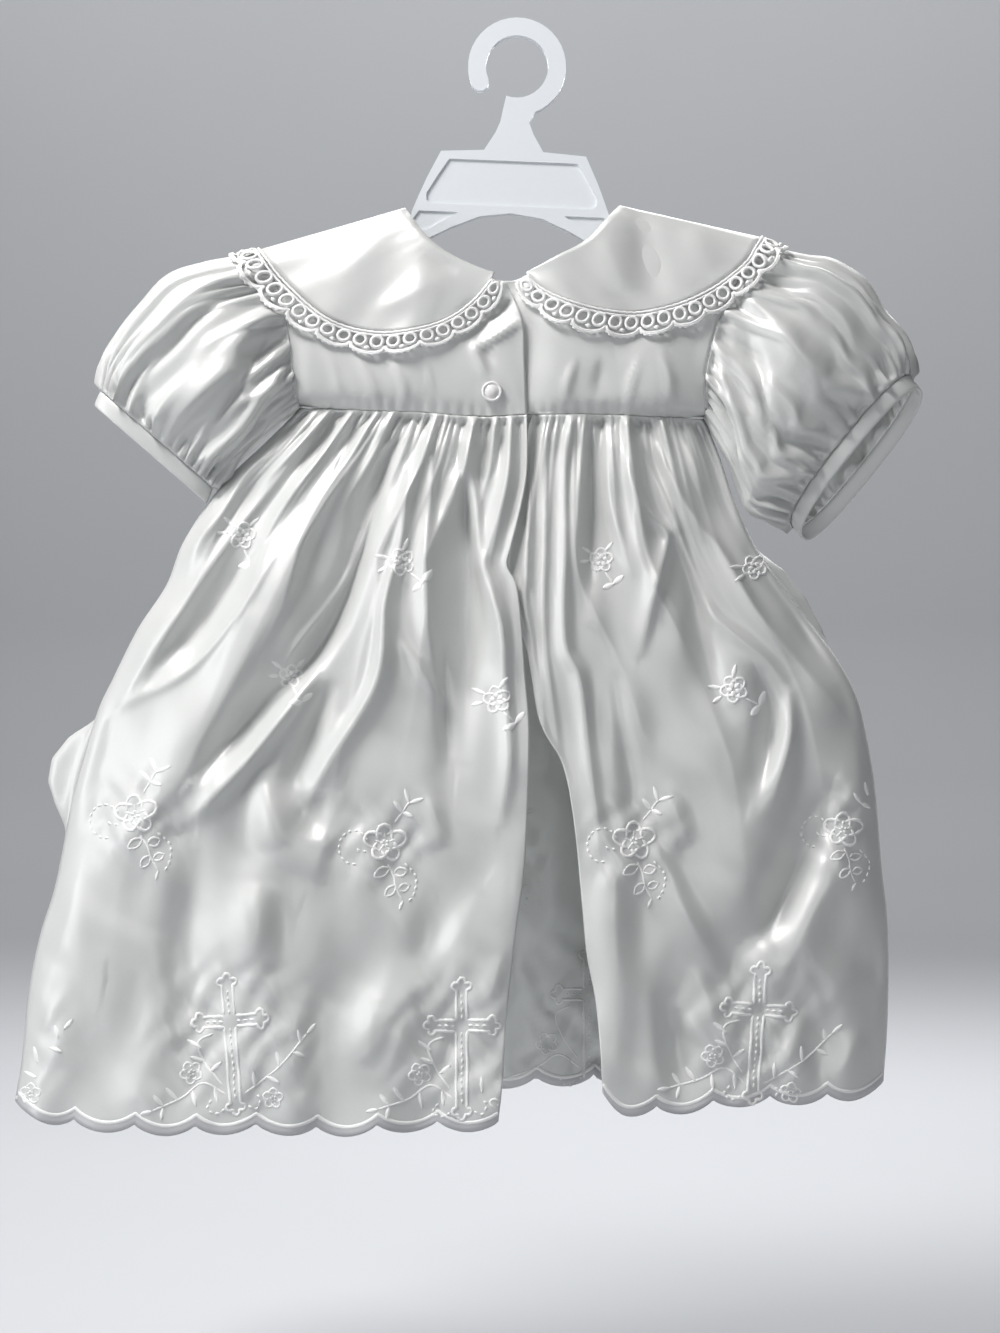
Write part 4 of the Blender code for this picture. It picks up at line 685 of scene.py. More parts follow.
def right_step(x):
    """The right half lies low under the lap, rises beside it and levels out."""
    beside = smooth_step((x - STEP_X) / STEP_WIDTH)
    level = 1 - smooth_step((x - STEP_X - STEP_WIDTH) / STEP_FADE)
    return STEP_RISE * beside * level - UNDERLAP_DROP * (1 - beside)


def sleeve_axis(top, low):
    """Direction from armhole to cuff, one for each row."""
    middle = 0.5 * (top + low)
    run = np.gradient(middle, axis=0)
    return run / np.linalg.norm(run, axis=1, keepdims=True)


def split_evenly(ring):
    """The armhole's points with more on the straight lines between them."""
    half = len(ring) // 2
    parts = []
    for piece in (ring[:half], ring[half:]):
        for start, end in zip(piece[:-1], piece[1:]):
            for k in range(SLEEVE_SPLIT):
                parts.append(start + (end - start) * k / SLEEVE_SPLIT)
    return np.array(parts)


def sleeve_grid(top_rows, low_rows, armhole, skew, rows, columns):
    """Rings of a puffed sleeve from the armhole to the cuff seam."""
    top = edge_points(top_rows, rows)
    low = edge_points(low_rows, rows)
    axis = sleeve_axis(top, low)
    angle = np.linspace(0, 2 * math.pi, columns, endpoint=False)
    power = 2 / SLEEVE_BOXINESS
    cosine = np.sign(np.cos(angle)) * np.abs(np.cos(angle)) ** power
    sine = np.sign(np.sin(angle)) * np.abs(np.sin(angle)) ** power
    depth = smooth_path(SLEEVE_DEPTH, 8) / MM
    back = np.interp(rows, depth[:, 0], depth[:, 1]) * MM
    front = np.interp(rows, depth[:, 0], depth[:, 2]) * MM
    middle = 0.5 * (top + low)
    half = 0.5 * (top - low)
    flat = middle[:, None] + half[:, None] * cosine[None, :, None]
    flat = flat - axis[:, None] * (skew * smooth_step(rows)[:, None] * sine[None])[..., None]
    outward = np.where(sine > 0, back[:, None] * sine, -front[:, None] * sine)
    side = np.where(sine > 0, BACK, FRONT)
    grid = place_in_depth(flat[..., 0], outward, flat[..., 1], side[None])
    ring = split_evenly(armhole_ring(armhole))
    fade = (1 - np.clip(rows / SLEEVE_BLEND, 0, 1))[:, None, None] ** 2
    shift = np.zeros(3)
    shift[0] = ARMHOLE_GAP * np.sign(top[-1, 0])
    return grid * (1 - fade) + (ring + shift)[None] * fade


def mixed(tree, first, second, factor):
    """A colour between two, each a colour or a socket, by a factor socket."""
    mix = tree.nodes.new("ShaderNodeMix")
    mix.data_type = "RGBA"
    tree.links.new(factor, mix.inputs[0])
    for socket, colour in ((mix.inputs[6], first), (mix.inputs[7], second)):
        if isinstance(colour, tuple):
            socket.default_value = (*colour, 1)
        else:
            tree.links.new(colour, socket)
    return mix.outputs[2]


def make_material(name, colour, second, roughness, specular, grain, bump, sheen=0.0, painted_shade_colour=None,
                  through=0.0, ior=1.5):
    """A procedural material: two close colours, fine relief and, where given, a painted shade: a
    darker colour laid on by a mask, standing in for shade.

    through is the share of light that passes through thin cloth, ior the shine's strength.
    """
    material = bpy.data.materials.new(name)
    material.use_nodes = True
    tree = material.node_tree
    shader = tree.nodes["Principled BSDF"]
    for socket, value in (("Roughness", roughness), ("Specular IOR Level", specular),
                          ("Sheen Weight", sheen), ("Sheen Roughness", SHEEN_ROUGHNESS),
                          ("IOR", ior)):
        shader.inputs[socket].default_value = value
    place = tree.nodes.new("ShaderNodeTexCoord")
    texture = tree.nodes.new("ShaderNodeTexNoise")
    texture.inputs["Scale"].default_value = grain
    texture.inputs["Detail"].default_value = GRAIN_DETAIL
    tree.links.new(place.outputs["Object"], texture.inputs["Vector"])
    body = mixed(tree, colour, second, texture.outputs["Fac"])
    # painted shade: where the mask is 1 the colour turns to the darker one, standing in for shade
    if painted_shade_colour is not None:
        painted_shade_mask = tree.nodes.new("ShaderNodeAttribute")
        painted_shade_mask.attribute_name = "painted_shade_mask"
        body = mixed(tree, body, painted_shade_colour, painted_shade_mask.outputs["Fac"])
    tree.links.new(body, shader.inputs["Base Color"])
    relief = tree.nodes.new("ShaderNodeBump")
    relief.inputs["Strength"].default_value = bump
    relief.inputs["Distance"].default_value = GRAIN_DEPTH
    tree.links.new(texture.outputs["Fac"], relief.inputs["Height"])
    tree.links.new(relief.outputs["Normal"], shader.inputs["Normal"])
    if through:
        glow = tree.nodes.new("ShaderNodeBsdfTranslucent")
        tree.links.new(body, glow.inputs["Color"])
        blend = tree.nodes.new("ShaderNodeMixShader")
        blend.inputs[0].default_value = through
        tree.links.new(shader.outputs[0], blend.inputs[1])
        tree.links.new(glow.outputs[0], blend.inputs[2])
        tree.links.new(blend.outputs[0], tree.nodes["Material Output"].inputs["Surface"])
    return material


def make_piece(name, vertices, faces, material, replaced=(), thick=0.0, painted_shade_mask=None):
    """A shown piece that rides with the part and may stand for a node of the solids."""
    name = f"{name}_shown" if replaced else name
    mesh = bpy.data.meshes.new(name)
    mesh.from_pydata(np.asarray(vertices).tolist(), [], faces)
    mesh.shade_smooth()
    mesh.materials.append(material)
    # the mask of painted shade, 1 where the colour is painted darker as shade
    if painted_shade_mask is not None:
        layer = mesh.attributes.new("painted_shade_mask", "FLOAT", "POINT")
        layer.data.foreach_set("value", np.asarray(painted_shade_mask, np.float32).ravel())
    item = bpy.data.objects.new(name, mesh)
    bpy.context.scene.collection.objects.link(item)
    if thick:
        shell = item.modifiers.new("thickness", "SOLIDIFY")
        shell.thickness = thick
        shell.offset = -1.0
    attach(item, "root")
    if replaced:
        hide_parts(*replaced)
    return item


def grid_quads(rows, columns, closed_across=False, closed_down=False, flip=False):
    """Faces of a grid of points."""
    faces = []
    for i in range(rows if closed_down else rows - 1):
        for j in range(columns if closed_across else columns - 1):
            n, k = (i + 1) % rows, (j + 1) % columns
            face = (i * columns + j, i * columns + k, n * columns + k, n * columns + j)
            faces.append(face[::-1] if flip else face)
    return faces


def cloth_piece(name, points, flip, painted_shade_mask=None, closed=(False, False), thick=CLOTH):
    """A shown satin piece made of a grid of points, for the node of the same name."""
    # no painted shade unless a mask is given
    if painted_shade_mask is None:
        painted_shade_mask = np.zeros(points.shape[:2])
    faces = grid_quads(*points.shape[:2], *closed, flip)
    return make_piece(name, points.reshape(-1, 3), faces, SATIN, (name,), thick, painted_shade_mask)


def line_distance(x, z, points):
    """Distance to a line of points, the side (-1 left, 1 right) and the share along it."""
    place = np.stack([x, z], axis=-1)
    nearest = np.full(x.shape, np.inf)
    side = np.zeros(x.shape)
    share = np.zeros(x.shape)
    steps = np.linalg.norm(np.diff(points, axis=0), axis=1)
    passed = np.concatenate([[0], np.cumsum(steps)]) / steps.sum()
    for start, end, low, high in zip(points[:-1], points[1:], passed[:-1], passed[1:]):
        run = end - start
        t = np.clip(((place - start) @ run) / (run @ run), 0, 1)
        off = place - start - t[..., None] * run
        distance = np.linalg.norm(off, axis=-1)
        closer = distance < nearest
        cross = run[1] * off[..., 0] - run[0] * off[..., 1]
        nearest = np.where(closer, distance, nearest)
        side = np.where(closer, -np.sign(cross), side)
        share = np.where(closer, low + (high - low) * t, share)
    return nearest, side, share


def ridge(off, sharp):
    """Height of a ridge, off half widths from its line; sharp is the share of its crest."""
    return sharp * np.exp(-CREST_FALL * off) + (1 - sharp) * np.exp(-off ** 2)


def crease_height(creases, x, z):
    """Sum of the fine ridges and troughs of a table at a place."""
    total = np.zeros_like(x)
    for width, height, lean, rows in creases:
        distance, side, share = line_distance(x, z, smooth_path(rows, 6))
        rise = np.clip(CREASE_END + (1 - 2 * CREASE_END) * share, 0, 1)
        fade = np.sin(math.pi * rise) ** CREASE_FADE
        first, last = CREASE_WIDTHS
        reach = width * MM * (first + (last - first) * share) * (1 - lean * side)
        sharp = CREASE_CREST * min(1, SHARP_WIDTH / width) ** 2 if height > 0 else 0
        total += height * MM * fade * ridge(distance / reach, sharp)
    return total


def pleat_height(table, u, v, closed=False, spread=PLEAT_SPREAD, slim=1.0):
    """Uneven pleats that radiate and widen from a gathered seam, which may be a ring."""
    total = np.zeros(np.broadcast(u, v).shape)
    for count, height, reach, seed in table:
        chance = np.random.default_rng(seed)
        for k in range(count):
            centre = (k + 0.5 + chance.uniform(-PLEAT_SHIFT, PLEAT_SHIFT)) / count
            width = slim * chance.uniform(*PLEAT_WIDTHS) / count
            drift = chance.uniform(-PLEAT_DRIFT, PLEAT_DRIFT) / count
            length = reach * chance.uniform(*PLEAT_LENGTHS)
            tall = height * MM * chance.uniform(*PLEAT_HEIGHTS)
            off = u - centre - drift * v
            if closed:
                off = (off + 0.5) % 1 - 0.5
            off = np.abs(off) / (width * (1 + spread * v))
            total += tall * ridge(off, PLEAT_CREST) * (1 - smooth_step(v / length))
        total -= PLEAT_LEVEL * slim * height * MM * (1 - smooth_step(v / reach))
    edges = 1.0 if closed else smooth_step(u / PLEAT_EDGE) * smooth_step((1 - u) / PLEAT_EDGE)
    return total * smooth_step(v / PLEAT_START) * edges


def quilting(motifs, reach, x, z):
    """Small mounds that the stitches draw up round each motif."""
    total = np.zeros_like(x)
    for at_x, at_z, _, size in motifs:
        dx, dz = x - at_x * MM, z - at_z * MM
        near = np.exp(-((dx ** 2 + dz ** 2) / (reach * size * MM) ** 2) ** 2)
        bend_x = QUILT_BEND * np.sin(dz / QUILT_BENDS[0] + at_x)
        bend_z = QUILT_BEND * np.sin(dx / QUILT_BENDS[1] + at_z)
        mounds = (np.sin(2 * math.pi * dx / QUILT_SIZE + bend_x)
                  * np.cos(2 * math.pi * dz / (QUILT_STRETCH * QUILT_SIZE) + bend_z))
        total += near * QUILT_HEIGHT * mounds
    return total


def puff_height(x, z):
    """Soft unevenness of the cloth."""
    total = np.zeros_like(x)
    for height, along_x, along_z, turn, shift in PUFFS:
        a = (x * math.cos(turn) + z * math.sin(turn)) / (along_x * MM)
        b = (z * math.cos(turn) - x * math.sin(turn)) / (along_z * MM)
        bend = PUFF_BEND * np.sin(2 * math.pi * b + shift)
        waves = np.sin(2 * math.pi * a + bend) * np.cos(2 * math.pi * b + 2 * shift + bend)
        total += height * MM * waves
    return total * (1 + PUFF_GROWTH * smooth_step((PUFF_FROM - z) / PUFF_OVER))


def rows_down(count):
    """Shares of the length, closer together at the waist."""
    t = np.linspace(0, 1, count)
    return (1 - WAIST_CROWDING) * t + WAIST_CROWDING * t ** 2


def painted_shade_share(past_line):
    """Painted shade: 1 beyond the stitched scallop line, where the cloth is painted darker as
    shade, 0 above it.
    """
    return smooth_step((past_line + PAINTED_SHADE_FADE) / (2 * PAINTED_SHADE_FADE))


def hem_line(u, count):
    """Height of the stitched scallop line over the cloth's edge."""
    return HEM_BORDER + HEM_CUSP * scallop_cusps(u, count)


def skirt(name, side, grid_size, edges, creases, pleats, motifs, scallops, seams, raised=None):
    """A piece of the skirt as seen: its object and its points.

    edges are the tables of its waist, hem, left and right edges. seams are the columns at a
    side seam, 0 for the left edge and -1 for the right one. raised lifts it near the waist.
    """
    waist, hem, left, right = edges
    across = np.linspace(0, 1, grid_size[0])
    down = rows_down(grid_size[1])
    waist = [left[0]] + waist[1:-1] + [right[0]]
    grid = fill_patch(edge_points(waist, across), edge_points(hem, across),
                      edge_points(left, down), edge_points(right, down), across, down)
    x, z = grid[..., 0], grid[..., 1]
    u, v = np.meshgrid(across, down)
    _, sprays, crosses = motifs
    folded = (crease_height(creases, x, z) + puff_height(x, z)) * smooth_step(v / FOLD_START)
    folded = folded + quilting(crosses, CROSS_REACH, x, z) + quilting(sprays, SPRAY_REACH, x, z)
    folded = folded + pleat_height(pleats, u, v)
    outward = skirt_depth(x, z, side)
    if raised is not None:
        outward = outward + raised(x) * (1 - v)
    for seam in seams:
        folded = folded * smooth_step((u if seam == 0 else 1 - u) / SEAM_FLAT[side])
    outward = outward + folded
    outward[:, seams] = HALF_GAP
    outward = np.maximum(outward, HALF_GAP)
    if side == FRONT:
        x = x - roll_out(u, z, ROLL_LEFT) + roll_out(1 - u, z, ROLL_RIGHT)
    z = z + hem_scallops(u, v, scallops)
    z[0] -= HALF_GAP
    outer = place_in_depth(x, outward, z, side)
    length = np.linalg.norm(grid[-1] - grid[0], axis=-1)
    # the cloth beyond the hem cord gets painted shade, a darker grey standing in for shade
    past_line = (v - 1) * length[None] + hem_line(u, scallops)
    return cloth_piece(name, outer, side == FRONT, painted_shade_share(past_line)), outer


def yoke(name, edge_curves, side, slack=0.0, step=None):
    """A piece of the bodice as seen, from its top, bottom, left and right edges.

    slack is how far its middle falls in, and step is an extra height that depends on x.
    """
    across = np.linspace(0, 1, len(edge_curves[0]))
    down = armhole_shares()
    grid = fill_patch(*edge_curves, across, down)
    x, outward, z = grid[..., 0], grid[..., 1], grid[..., 2]
    u, v = np.meshgrid(across, down)
    outward = outward - slack * 16 * u * (1 - u) * v * (1 - v)
    if step is not None:
        outward = outward + step(x)
    turn = np.clip((z[:1] - z) / SHOULDER_ROUND, 0, 1)
    rounded = SHOULDER_ROUND * np.sqrt(1 - (1 - turn) ** 2)
    at_shoulder = (grid[0, :, 1] < SHOULDER_ROUND) & (across > 0) & (across < 1)
    outward = np.where(at_shoulder, np.maximum(outward, rounded), outward)
    for _ in range(YOKE_SMOOTHING):
        outward[1:-1, 1:-1] = (outward[1:-1, :-2] + 2 * outward[1:-1, 1:-1] + outward[1:-1, 2:]) / 4
    inside = smooth_step(u / YOKE_SIDES) * smooth_step((1 - u) / YOKE_SIDES)
    inside = inside * smooth_step(v / YOKE_TOP)
    pucker = np.sin(2 * math.pi * x / PUCKER_PITCH + PUCKER_BEND * np.sin(x / PUCKER_DRIFT))
    pucker = pucker * smooth_step((v - PUCKER_FROM) / PUCKER_OVER)
    outward = outward + inside * (YOKE_PUFF * puff_height(x, z) + YOKE_PUCKER * pucker)
    if side == BACK:
        outward = outward + crease_height(CREASES_YOKE, x, z)
    outward = np.maximum(outward, HALF_GAP)
    z[-1] += HALF_GAP
    outer = place_in_depth(x, outward, z, side)
    return cloth_piece(name, outer, side == FRONT), outer


def bodice():
    """The two back yokes and the front yoke, by name."""
    rows = armhole_shares()
    along, neck = YOKE_COLUMNS
    armhole_left, armhole_right = armhole_points(ARMHOLE_LEFT), armhole_points(ARMHOLE_RIGHT)
    top = joined(SHOULDER_LEFT, NECK_BACK_LEFT, along, neck)
    top[0, 1] = HALF_GAP
    bottom = bodice_bottom(WAIST_LEFT, len(top) - 1, BACK, lap_raise)
    placket = edge_points(PLACKET_LEFT, rows)
    pieces = {"back_yoke_left": yoke("back_yoke_left", (top, bottom, armhole_left, placket), BACK)}
    top = joined(SHOULDER_RIGHT, NECK_BACK_RIGHT, along, neck)[::-1]
    top[-1, 1] = HALF_GAP
    bottom = bodice_bottom(WAIST_UNDERLAP, len(top) - 1, BACK)
    placket = edge_points(PLACKET_UNDER, rows)
    pieces["back_yoke_right"] = yoke("back_yoke_right", (top, bottom, placket, armhole_right),
                                     BACK, step=right_step)
    left_top = joined(SHOULDER_LEFT, NECK_FRONT_LEFT, along, neck)
    right_top = joined(SHOULDER_RIGHT, NECK_FRONT_RIGHT, along, neck)[::-1]
    top = np.vstack([left_top, right_top[1:]])
    top[[0, -1], 1] = HALF_GAP
    bottom = bodice_bottom(WAIST_FRONT, len(top) - 1, FRONT)
    pieces["front_yoke"] = yoke("front_yoke", (top, bottom, armhole_left, armhole_right), FRONT,
                                slack=FRONT_SLACK)
    return pieces


def sleeve_creases(creases, turn, share):
    """Ridges and troughs that run along a sleeve."""
    total = np.zeros(np.broadcast(turn, share).shape)
    turn, share = np.broadcast_arrays(turn, share)
    for width, height, rows in creases:
        points = smooth_path(rows, 8) / MM
        path = np.interp(share, points[:, 0], points[:, 1])
        away = (turn - path + 0.5) % 1 - 0.5
        off = away * SLEEVE_GIRTH / (width * MM)
        t = (share - points[0, 0]) / (points[-1, 0] - points[0, 0])
        fade = smooth_step((t + SLEEVE_RISE[0]) / SLEEVE_RISE[1])
        fade = fade * smooth_step((1 + SLEEVE_FALL[0] - t) / SLEEVE_FALL[1])
        shape = np.exp(-off ** 2) - CREASE_DIP * np.exp(-(off / DIP_SPREAD) ** 2)
        total += height * MM * fade * shape
    return total


def cuff_band(seam, axis):
    """Rings of a binding round a sleeve's mouth, in a rounded section."""
    inward = ring_inward(seam, axis)
    along_power, deep_power = CUFF_POWERS
    rings = []
    for k in range(CUFF_SIDES):
        angle = 2 * math.pi * k / CUFF_SIDES
        cosine, sine = math.cos(angle), math.sin(angle)
        along = 0.5 + 0.5 * np.sign(cosine) * abs(cosine) ** along_power
        deep = 0.5 + 0.5 * np.sign(sine) * abs(sine) ** deep_power
        rings.append(seam + axis * (2 * HALF_GAP + along * CUFF_WIDTH)
                     + inward * deep * CUFF_THICK)
    return np.array(rings)


def sleeve(side_name, top_rows, low_rows, armhole, skew, creases):
    """A puffed sleeve and its cuff binding as seen, and the sleeve's points."""
    columns = 2 * ARMHOLE_STEPS * SLEEVE_SPLIT
    rows = np.linspace(0, 1, SLEEVE_GRID_ROWS)
    grid = sleeve_grid(top_rows, low_rows, armhole, skew, rows, columns)
    turn = 1 if grid[-1, 0, 0] > grid[0, 0, 0] else -1
    normal = outward_normals(grid, turn, closed=True)
    u = np.linspace(0, 1, columns, endpoint=False)[None]
    v = rows[:, None]
    waves = sleeve_creases(creases, u, v)
    waves = waves + pleat_height(PLEATS_CAP, u, v, True, SLEEVE_SPREAD, SLEEVE_SLIM)
    waves = waves + pleat_height(PLEATS_CUFF, u, 1 - v, True, SLEEVE_SPREAD, SLEEVE_SLIM)
    waves = waves * smooth_step(v / SLEEVE_SEAMS[0]) * smooth_step((1 - v) / SLEEVE_SEAMS[1])
    outer = grid + normal * waves[..., None]
    item = cloth_piece(f"sleeve_{side_name}", outer, turn > 0, closed=(True, False))
    axis = (outer[-1] - outer[-2]).mean(axis=0)
    axis /= np.linalg.norm(axis)
    cuff = cloth_piece(f"cuff_{side_name}", cuff_band(outer[-1], axis), turn > 0,
                       closed=(True, True), thick=0.0)
    return item, cuff, outer


def tree_of(grids):
    """Search tree over grids of points."""
    vertices = []
    faces = []
    for grid, closed in grids:
        first = len(vertices)
        vertices += grid.reshape(-1, 3).tolist()
        faces += [tuple(first + k for k in face)
                  for face in grid_quads(*grid.shape[:2], closed_across=closed)]
    return BVHTree.FromPolygons(vertices, faces)


def height_over(tree, x, z, side):
    """How far the cloth beneath stands out at a place, or 0."""
    hit = tree.ray_cast(Vector((x, side * RAY_START, z)), Vector((0, -side, 0)))[0]
    return 0.0 if hit is None else max(0.0, side * hit.y)


def laid_over(flat, tree, side):
    """Points of a grid x, z laid over the cloth beneath; its last column is the shoulder."""
    rows, columns = flat.shape[:2]
    from_shoulder = 1 - np.linspace(0, 1, columns)
    share = np.tile(smooth_step(from_shoulder / COLLAR_SHOULDER), (rows, 1))
    place = place_in_depth(flat[..., 0], MEAN_DEPTH * share, flat[..., 1], side)
    raw = np.zeros((rows, columns))
    for i in range(rows):
        for j in range(columns - 1):
            raw[i, j] = height_over(tree, place[i, j, 0], place[i, j, 2], side)
    for i in range(rows - 2, -1, -1):
        raw[i] = np.where(raw[i] > 0, raw[i], raw[i + 1])
    raw = np.where(raw > 0, raw + COLLAR_CLEARANCE, 0)
    raw[:, -1] = 0
    soft = raw.copy()
    for _ in range(COLLAR_SMOOTHING):
        padded = np.pad(soft, 1, mode="edge")
        soft = (padded[:-2, 1:-1] + padded[2:, 1:-1] + padded[1:-1, :-2]
                + padded[1:-1, 2:] + 2 * soft) / 6
        soft = np.maximum(soft, raw - COLLAR_SINK)
        soft[:, -1] = 0
    place[..., 1] = side * soft
    return place


def half_collar(neck, edge, lace):
    """Flat grid of half a collar and its lace on one side, from centre to shoulder."""
    along = np.linspace(0, 1, COLLAR_COLUMNS) ** COLLAR_CROWDING
    neck_points = edge_points(neck, along)
    edge_line = edge_points(edge, along)
    lace_width = edge_points(lace, along) - edge_line
    shares = np.linspace(0, 1, COLLAR_ROWS)
    collar = neck_points[None] + shares[:, None, None] * (edge_line - neck_points)[None]
    shares = np.linspace(0, 1, LACE_GRID_ROWS + 1)[1:]
    trim = edge_line[None] + shares[:, None, None] * lace_width[None]
    return np.concatenate([collar, trim])


def collar_half(side_name, back, front, back_tree, front_tree):
    """One half of the collar as seen, and the points and normals that carry its lace."""
    near = laid_over(half_collar(*back), back_tree, BACK)
    far = laid_over(half_collar(*front), front_tree, FRONT)
    outer = np.concatenate([near, far[:, -2::-1]], axis=1)
    sign = 1 if side_name == "left" else -1
    v = np.linspace(0, 1, outer.shape[0])[:, None]
    u = np.linspace(0, 1, outer.shape[1])[None]
    long_waves, short_waves = COLLAR_WAVES
    wave = COLLAR_WAVE * np.sin(2 * math.pi * (long_waves * u + 0.3 * sign)) * v ** 2
    wave = wave + 0.5 * COLLAR_WAVE * np.sin(2 * math.pi * (short_waves * u + 0.2)) * v ** 2
    normal = outward_normals(outer, sign)
    dents = crease_height(CREASES_COLLAR, outer[..., 0], outer[..., 2])
    dents = np.where(outer[..., 1] * BACK > 0, dents, 0) * smooth_step(v / COLLAR_NECK_FLAT)
    outer = outer + normal * (wave + COLLAR_WAVE * v ** 2 + dents)[..., None]
    item = cloth_piece(f"collar_{side_name}", outer[:COLLAR_ROWS], sign < 0)
    return item, outer[COLLAR_ROWS - 1:], normal[COLLAR_ROWS - 1:]


class Threads:
    """Collects thin cords and pads into one piece."""

    def __init__(self):
        self.vertices = []
        self.faces = []
        self.count = 0

    def grid(self, points, closed_across=False, closed_down=False):
        """Add a grid of points."""
        rows, columns = points.shape[:2]
        self.vertices.append(points.reshape(-1, 3))
        for face in grid_quads(rows, columns, closed_across, closed_down):
            self.faces.append(tuple(self.count + k for k in face))
        self.count += rows * columns

    def cord(self, path, radius, sides=5, closed=False, normal=None, flat=1.0):
        """Add a cord along a path; its ends taper unless it is closed."""
        path = np.asarray(path, float)
        if closed:
            run = np.roll(path, -1, axis=0) - np.roll(path, 1, axis=0)
        else:
            run = np.gradient(path, axis=0)
        run = run / np.maximum(np.linalg.norm(run, axis=1, keepdims=True), TINY)
        up = np.tile([0.0, 1.0, 0.0], (len(path), 1)) if normal is None else normal
        across = np.cross(run, up)
        across = across / np.maximum(np.linalg.norm(across, axis=1, keepdims=True), TINY)
        up = np.cross(across, run)
        size = np.full(len(path), float(radius)) if np.isscalar(radius) else np.asarray(radius)
        if not closed:
            size = size.copy()
            size[[0, -1]] *= TAPER
        rings = []
        for k in range(sides):
            angle = 2 * math.pi * k / sides
            rings.append(path + across * (size * math.cos(angle))[:, None]
                         + up * (size * flat * math.sin(angle))[:, None])
        self.grid(np.stack(rings, axis=1), closed_across=True, closed_down=closed)

    def piece(self, name, material, slot, replaced=()):
        """Make one shown piece of all that was added."""
        return make_piece(name, np.vstack(self.vertices), self.faces, material, replaced)


def read_grid(grid, rows, columns):
    """Values of a grid at fractional rows and columns."""
    rows = np.clip(rows, 0, grid.shape[0] - 1.0001)
    columns = np.clip(columns, 0, grid.shape[1] - 1.0001)
    i, j = rows.astype(int), columns.astype(int)
    a, b = (rows - i)[..., None], (columns - j)[..., None]
    return ((1 - a) * (1 - b) * grid[i, j] + a * (1 - b) * grid[i + 1, j]
            + (1 - a) * b * grid[i, j + 1] + a * b * grid[i + 1, j + 1])


def lace_band(side_name, grid, normal):
    """Gimp lace: heading cords, pairs of rings, scallops with a dot and a picot fringe."""
    middle = grid[grid.shape[0] // 2]
    steps = np.linalg.norm(np.diff(middle, axis=0), axis=1)
    passed = np.concatenate([[0], np.cumsum(steps)])
    width = np.linalg.norm(grid[-1] - grid[0], axis=-1).mean()
    total = 2 * LACE_REPEATS
    repeat = passed[-1] / total
    ring_high = RING_RADIUS / width
    lace = Threads()

    def add(along, across, radius, closed=False, sides=5):
        """Add a cord, with its path in repeats along the band and shares across it."""
        columns = np.interp(np.asarray(along, float) * repeat, passed, np.arange(len(passed)))
        rows = np.asarray(across, float) * (grid.shape[0] - 1)
        place, out = read_grid(grid, rows, columns), read_grid(normal, rows, columns)
        lace.cord(place + out * CORD, radius, sides, closed, out)

    for at in HEADING_ROWS:
        run = np.linspace(0, total, 9 * total)
        add(run, at + HEADING_WAVE * np.sin(2 * math.pi * run * HEADING_BARS), CORD)
    for k in range(total):
        centre = k + 0.5
        for n in range(HEADING_BARS):
            at = k + (n + 0.5) / HEADING_BARS
            add([at, at], HEADING_ROWS, BAR_CORD)
        turn = np.linspace(0, 2 * math.pi, RING_SIDES, endpoint=False)
        for share in RING_SHARES:
            add(k + share + RING_RADIUS / repeat * np.cos(turn),
                RING_AT + ring_high * np.sin(turn), RING_CORD, True)
            add([k + share, k + share], [HEADING_ROWS[1], RING_AT - ring_high], CORD)
            add([k + share, centre + BAR_LEAN * (share - 0.5)], [RING_AT + ring_high, DOT_AT],
                BAR_CORD)
        turn = np.linspace(0, math.pi, RING_SIDES)
        for grow in (0.0, ARC_NEXT):
            across = ARC_FOOT + (ARC_TIP - ARC_FOOT + grow) * np.sin(turn) ** ARC_POWER
            add(centre - (ARC_HALF + 0.5 * grow) * np.cos(turn), across, ARC_CORD)
        dot = np.linspace(-DOT_HALF, DOT_HALF, len(DOT_SHAPE))
        add(centre + dot, np.full(len(dot), DOT_AT), DOT_RADIUS * np.array(DOT_SHAPE), sides=8)
        loop = np.linspace(0, 2 * math.pi, PICOT_SIDES, endpoint=False)
        for n in range(PICOTS):
            at = math.pi * (n + 0.5) / PICOTS
            along = centre - 0.5 * math.cos(at)
            across = ARC_FOOT + (ARC_TIP - ARC_FOOT + PICOT_AT) * math.sin(at) ** ARC_POWER
            add(along + PICOT_RADIUS / repeat * np.cos(loop),
                across + PICOT_FLAT * PICOT_RADIUS / width * np.sin(loop), PICOT_CORD, True, 4)
    return lace.piece(f"collar_lace_{side_name}", LACE, "lace", (f"collar_lace_{side_name}",))


def loop_path(start, end, width):
    """A pointed loop, such as an outlined petal or leaf."""
    start, end = np.array(start, float), np.array(end, float)
    run = end - start
    across = np.array([-run[1], run[0]]) / np.linalg.norm(run)
    t = np.linspace(0, 1, 10)
    bow = np.sin(math.pi * t)[:, None] * width * across
    there = start + run * t[:, None] + bow
    back = start + run * t[::-1][:, None] - bow[::-1]
    return np.vstack([there, back[1:]])


def petal_path(centre, angle, length, width):
    """A rounded petal's outline, from the flower's middle and back."""
    t = np.linspace(0, math.pi, 13)
    along = length * (PETAL_ROOT + (1 - PETAL_ROOT) * np.sin(t) ** PETAL_POWER)
    across = -width * np.cos(t)
    x = centre[0] + along * math.cos(angle) - across * math.sin(angle)
    z = centre[1] + along * math.sin(angle) + across * math.cos(angle)
    return np.stack([x, z], axis=-1)


def fifths(turn):
    """Directions of a flower's five petals."""
    return [2 * math.pi * k / 5 + turn for k in range(5)]


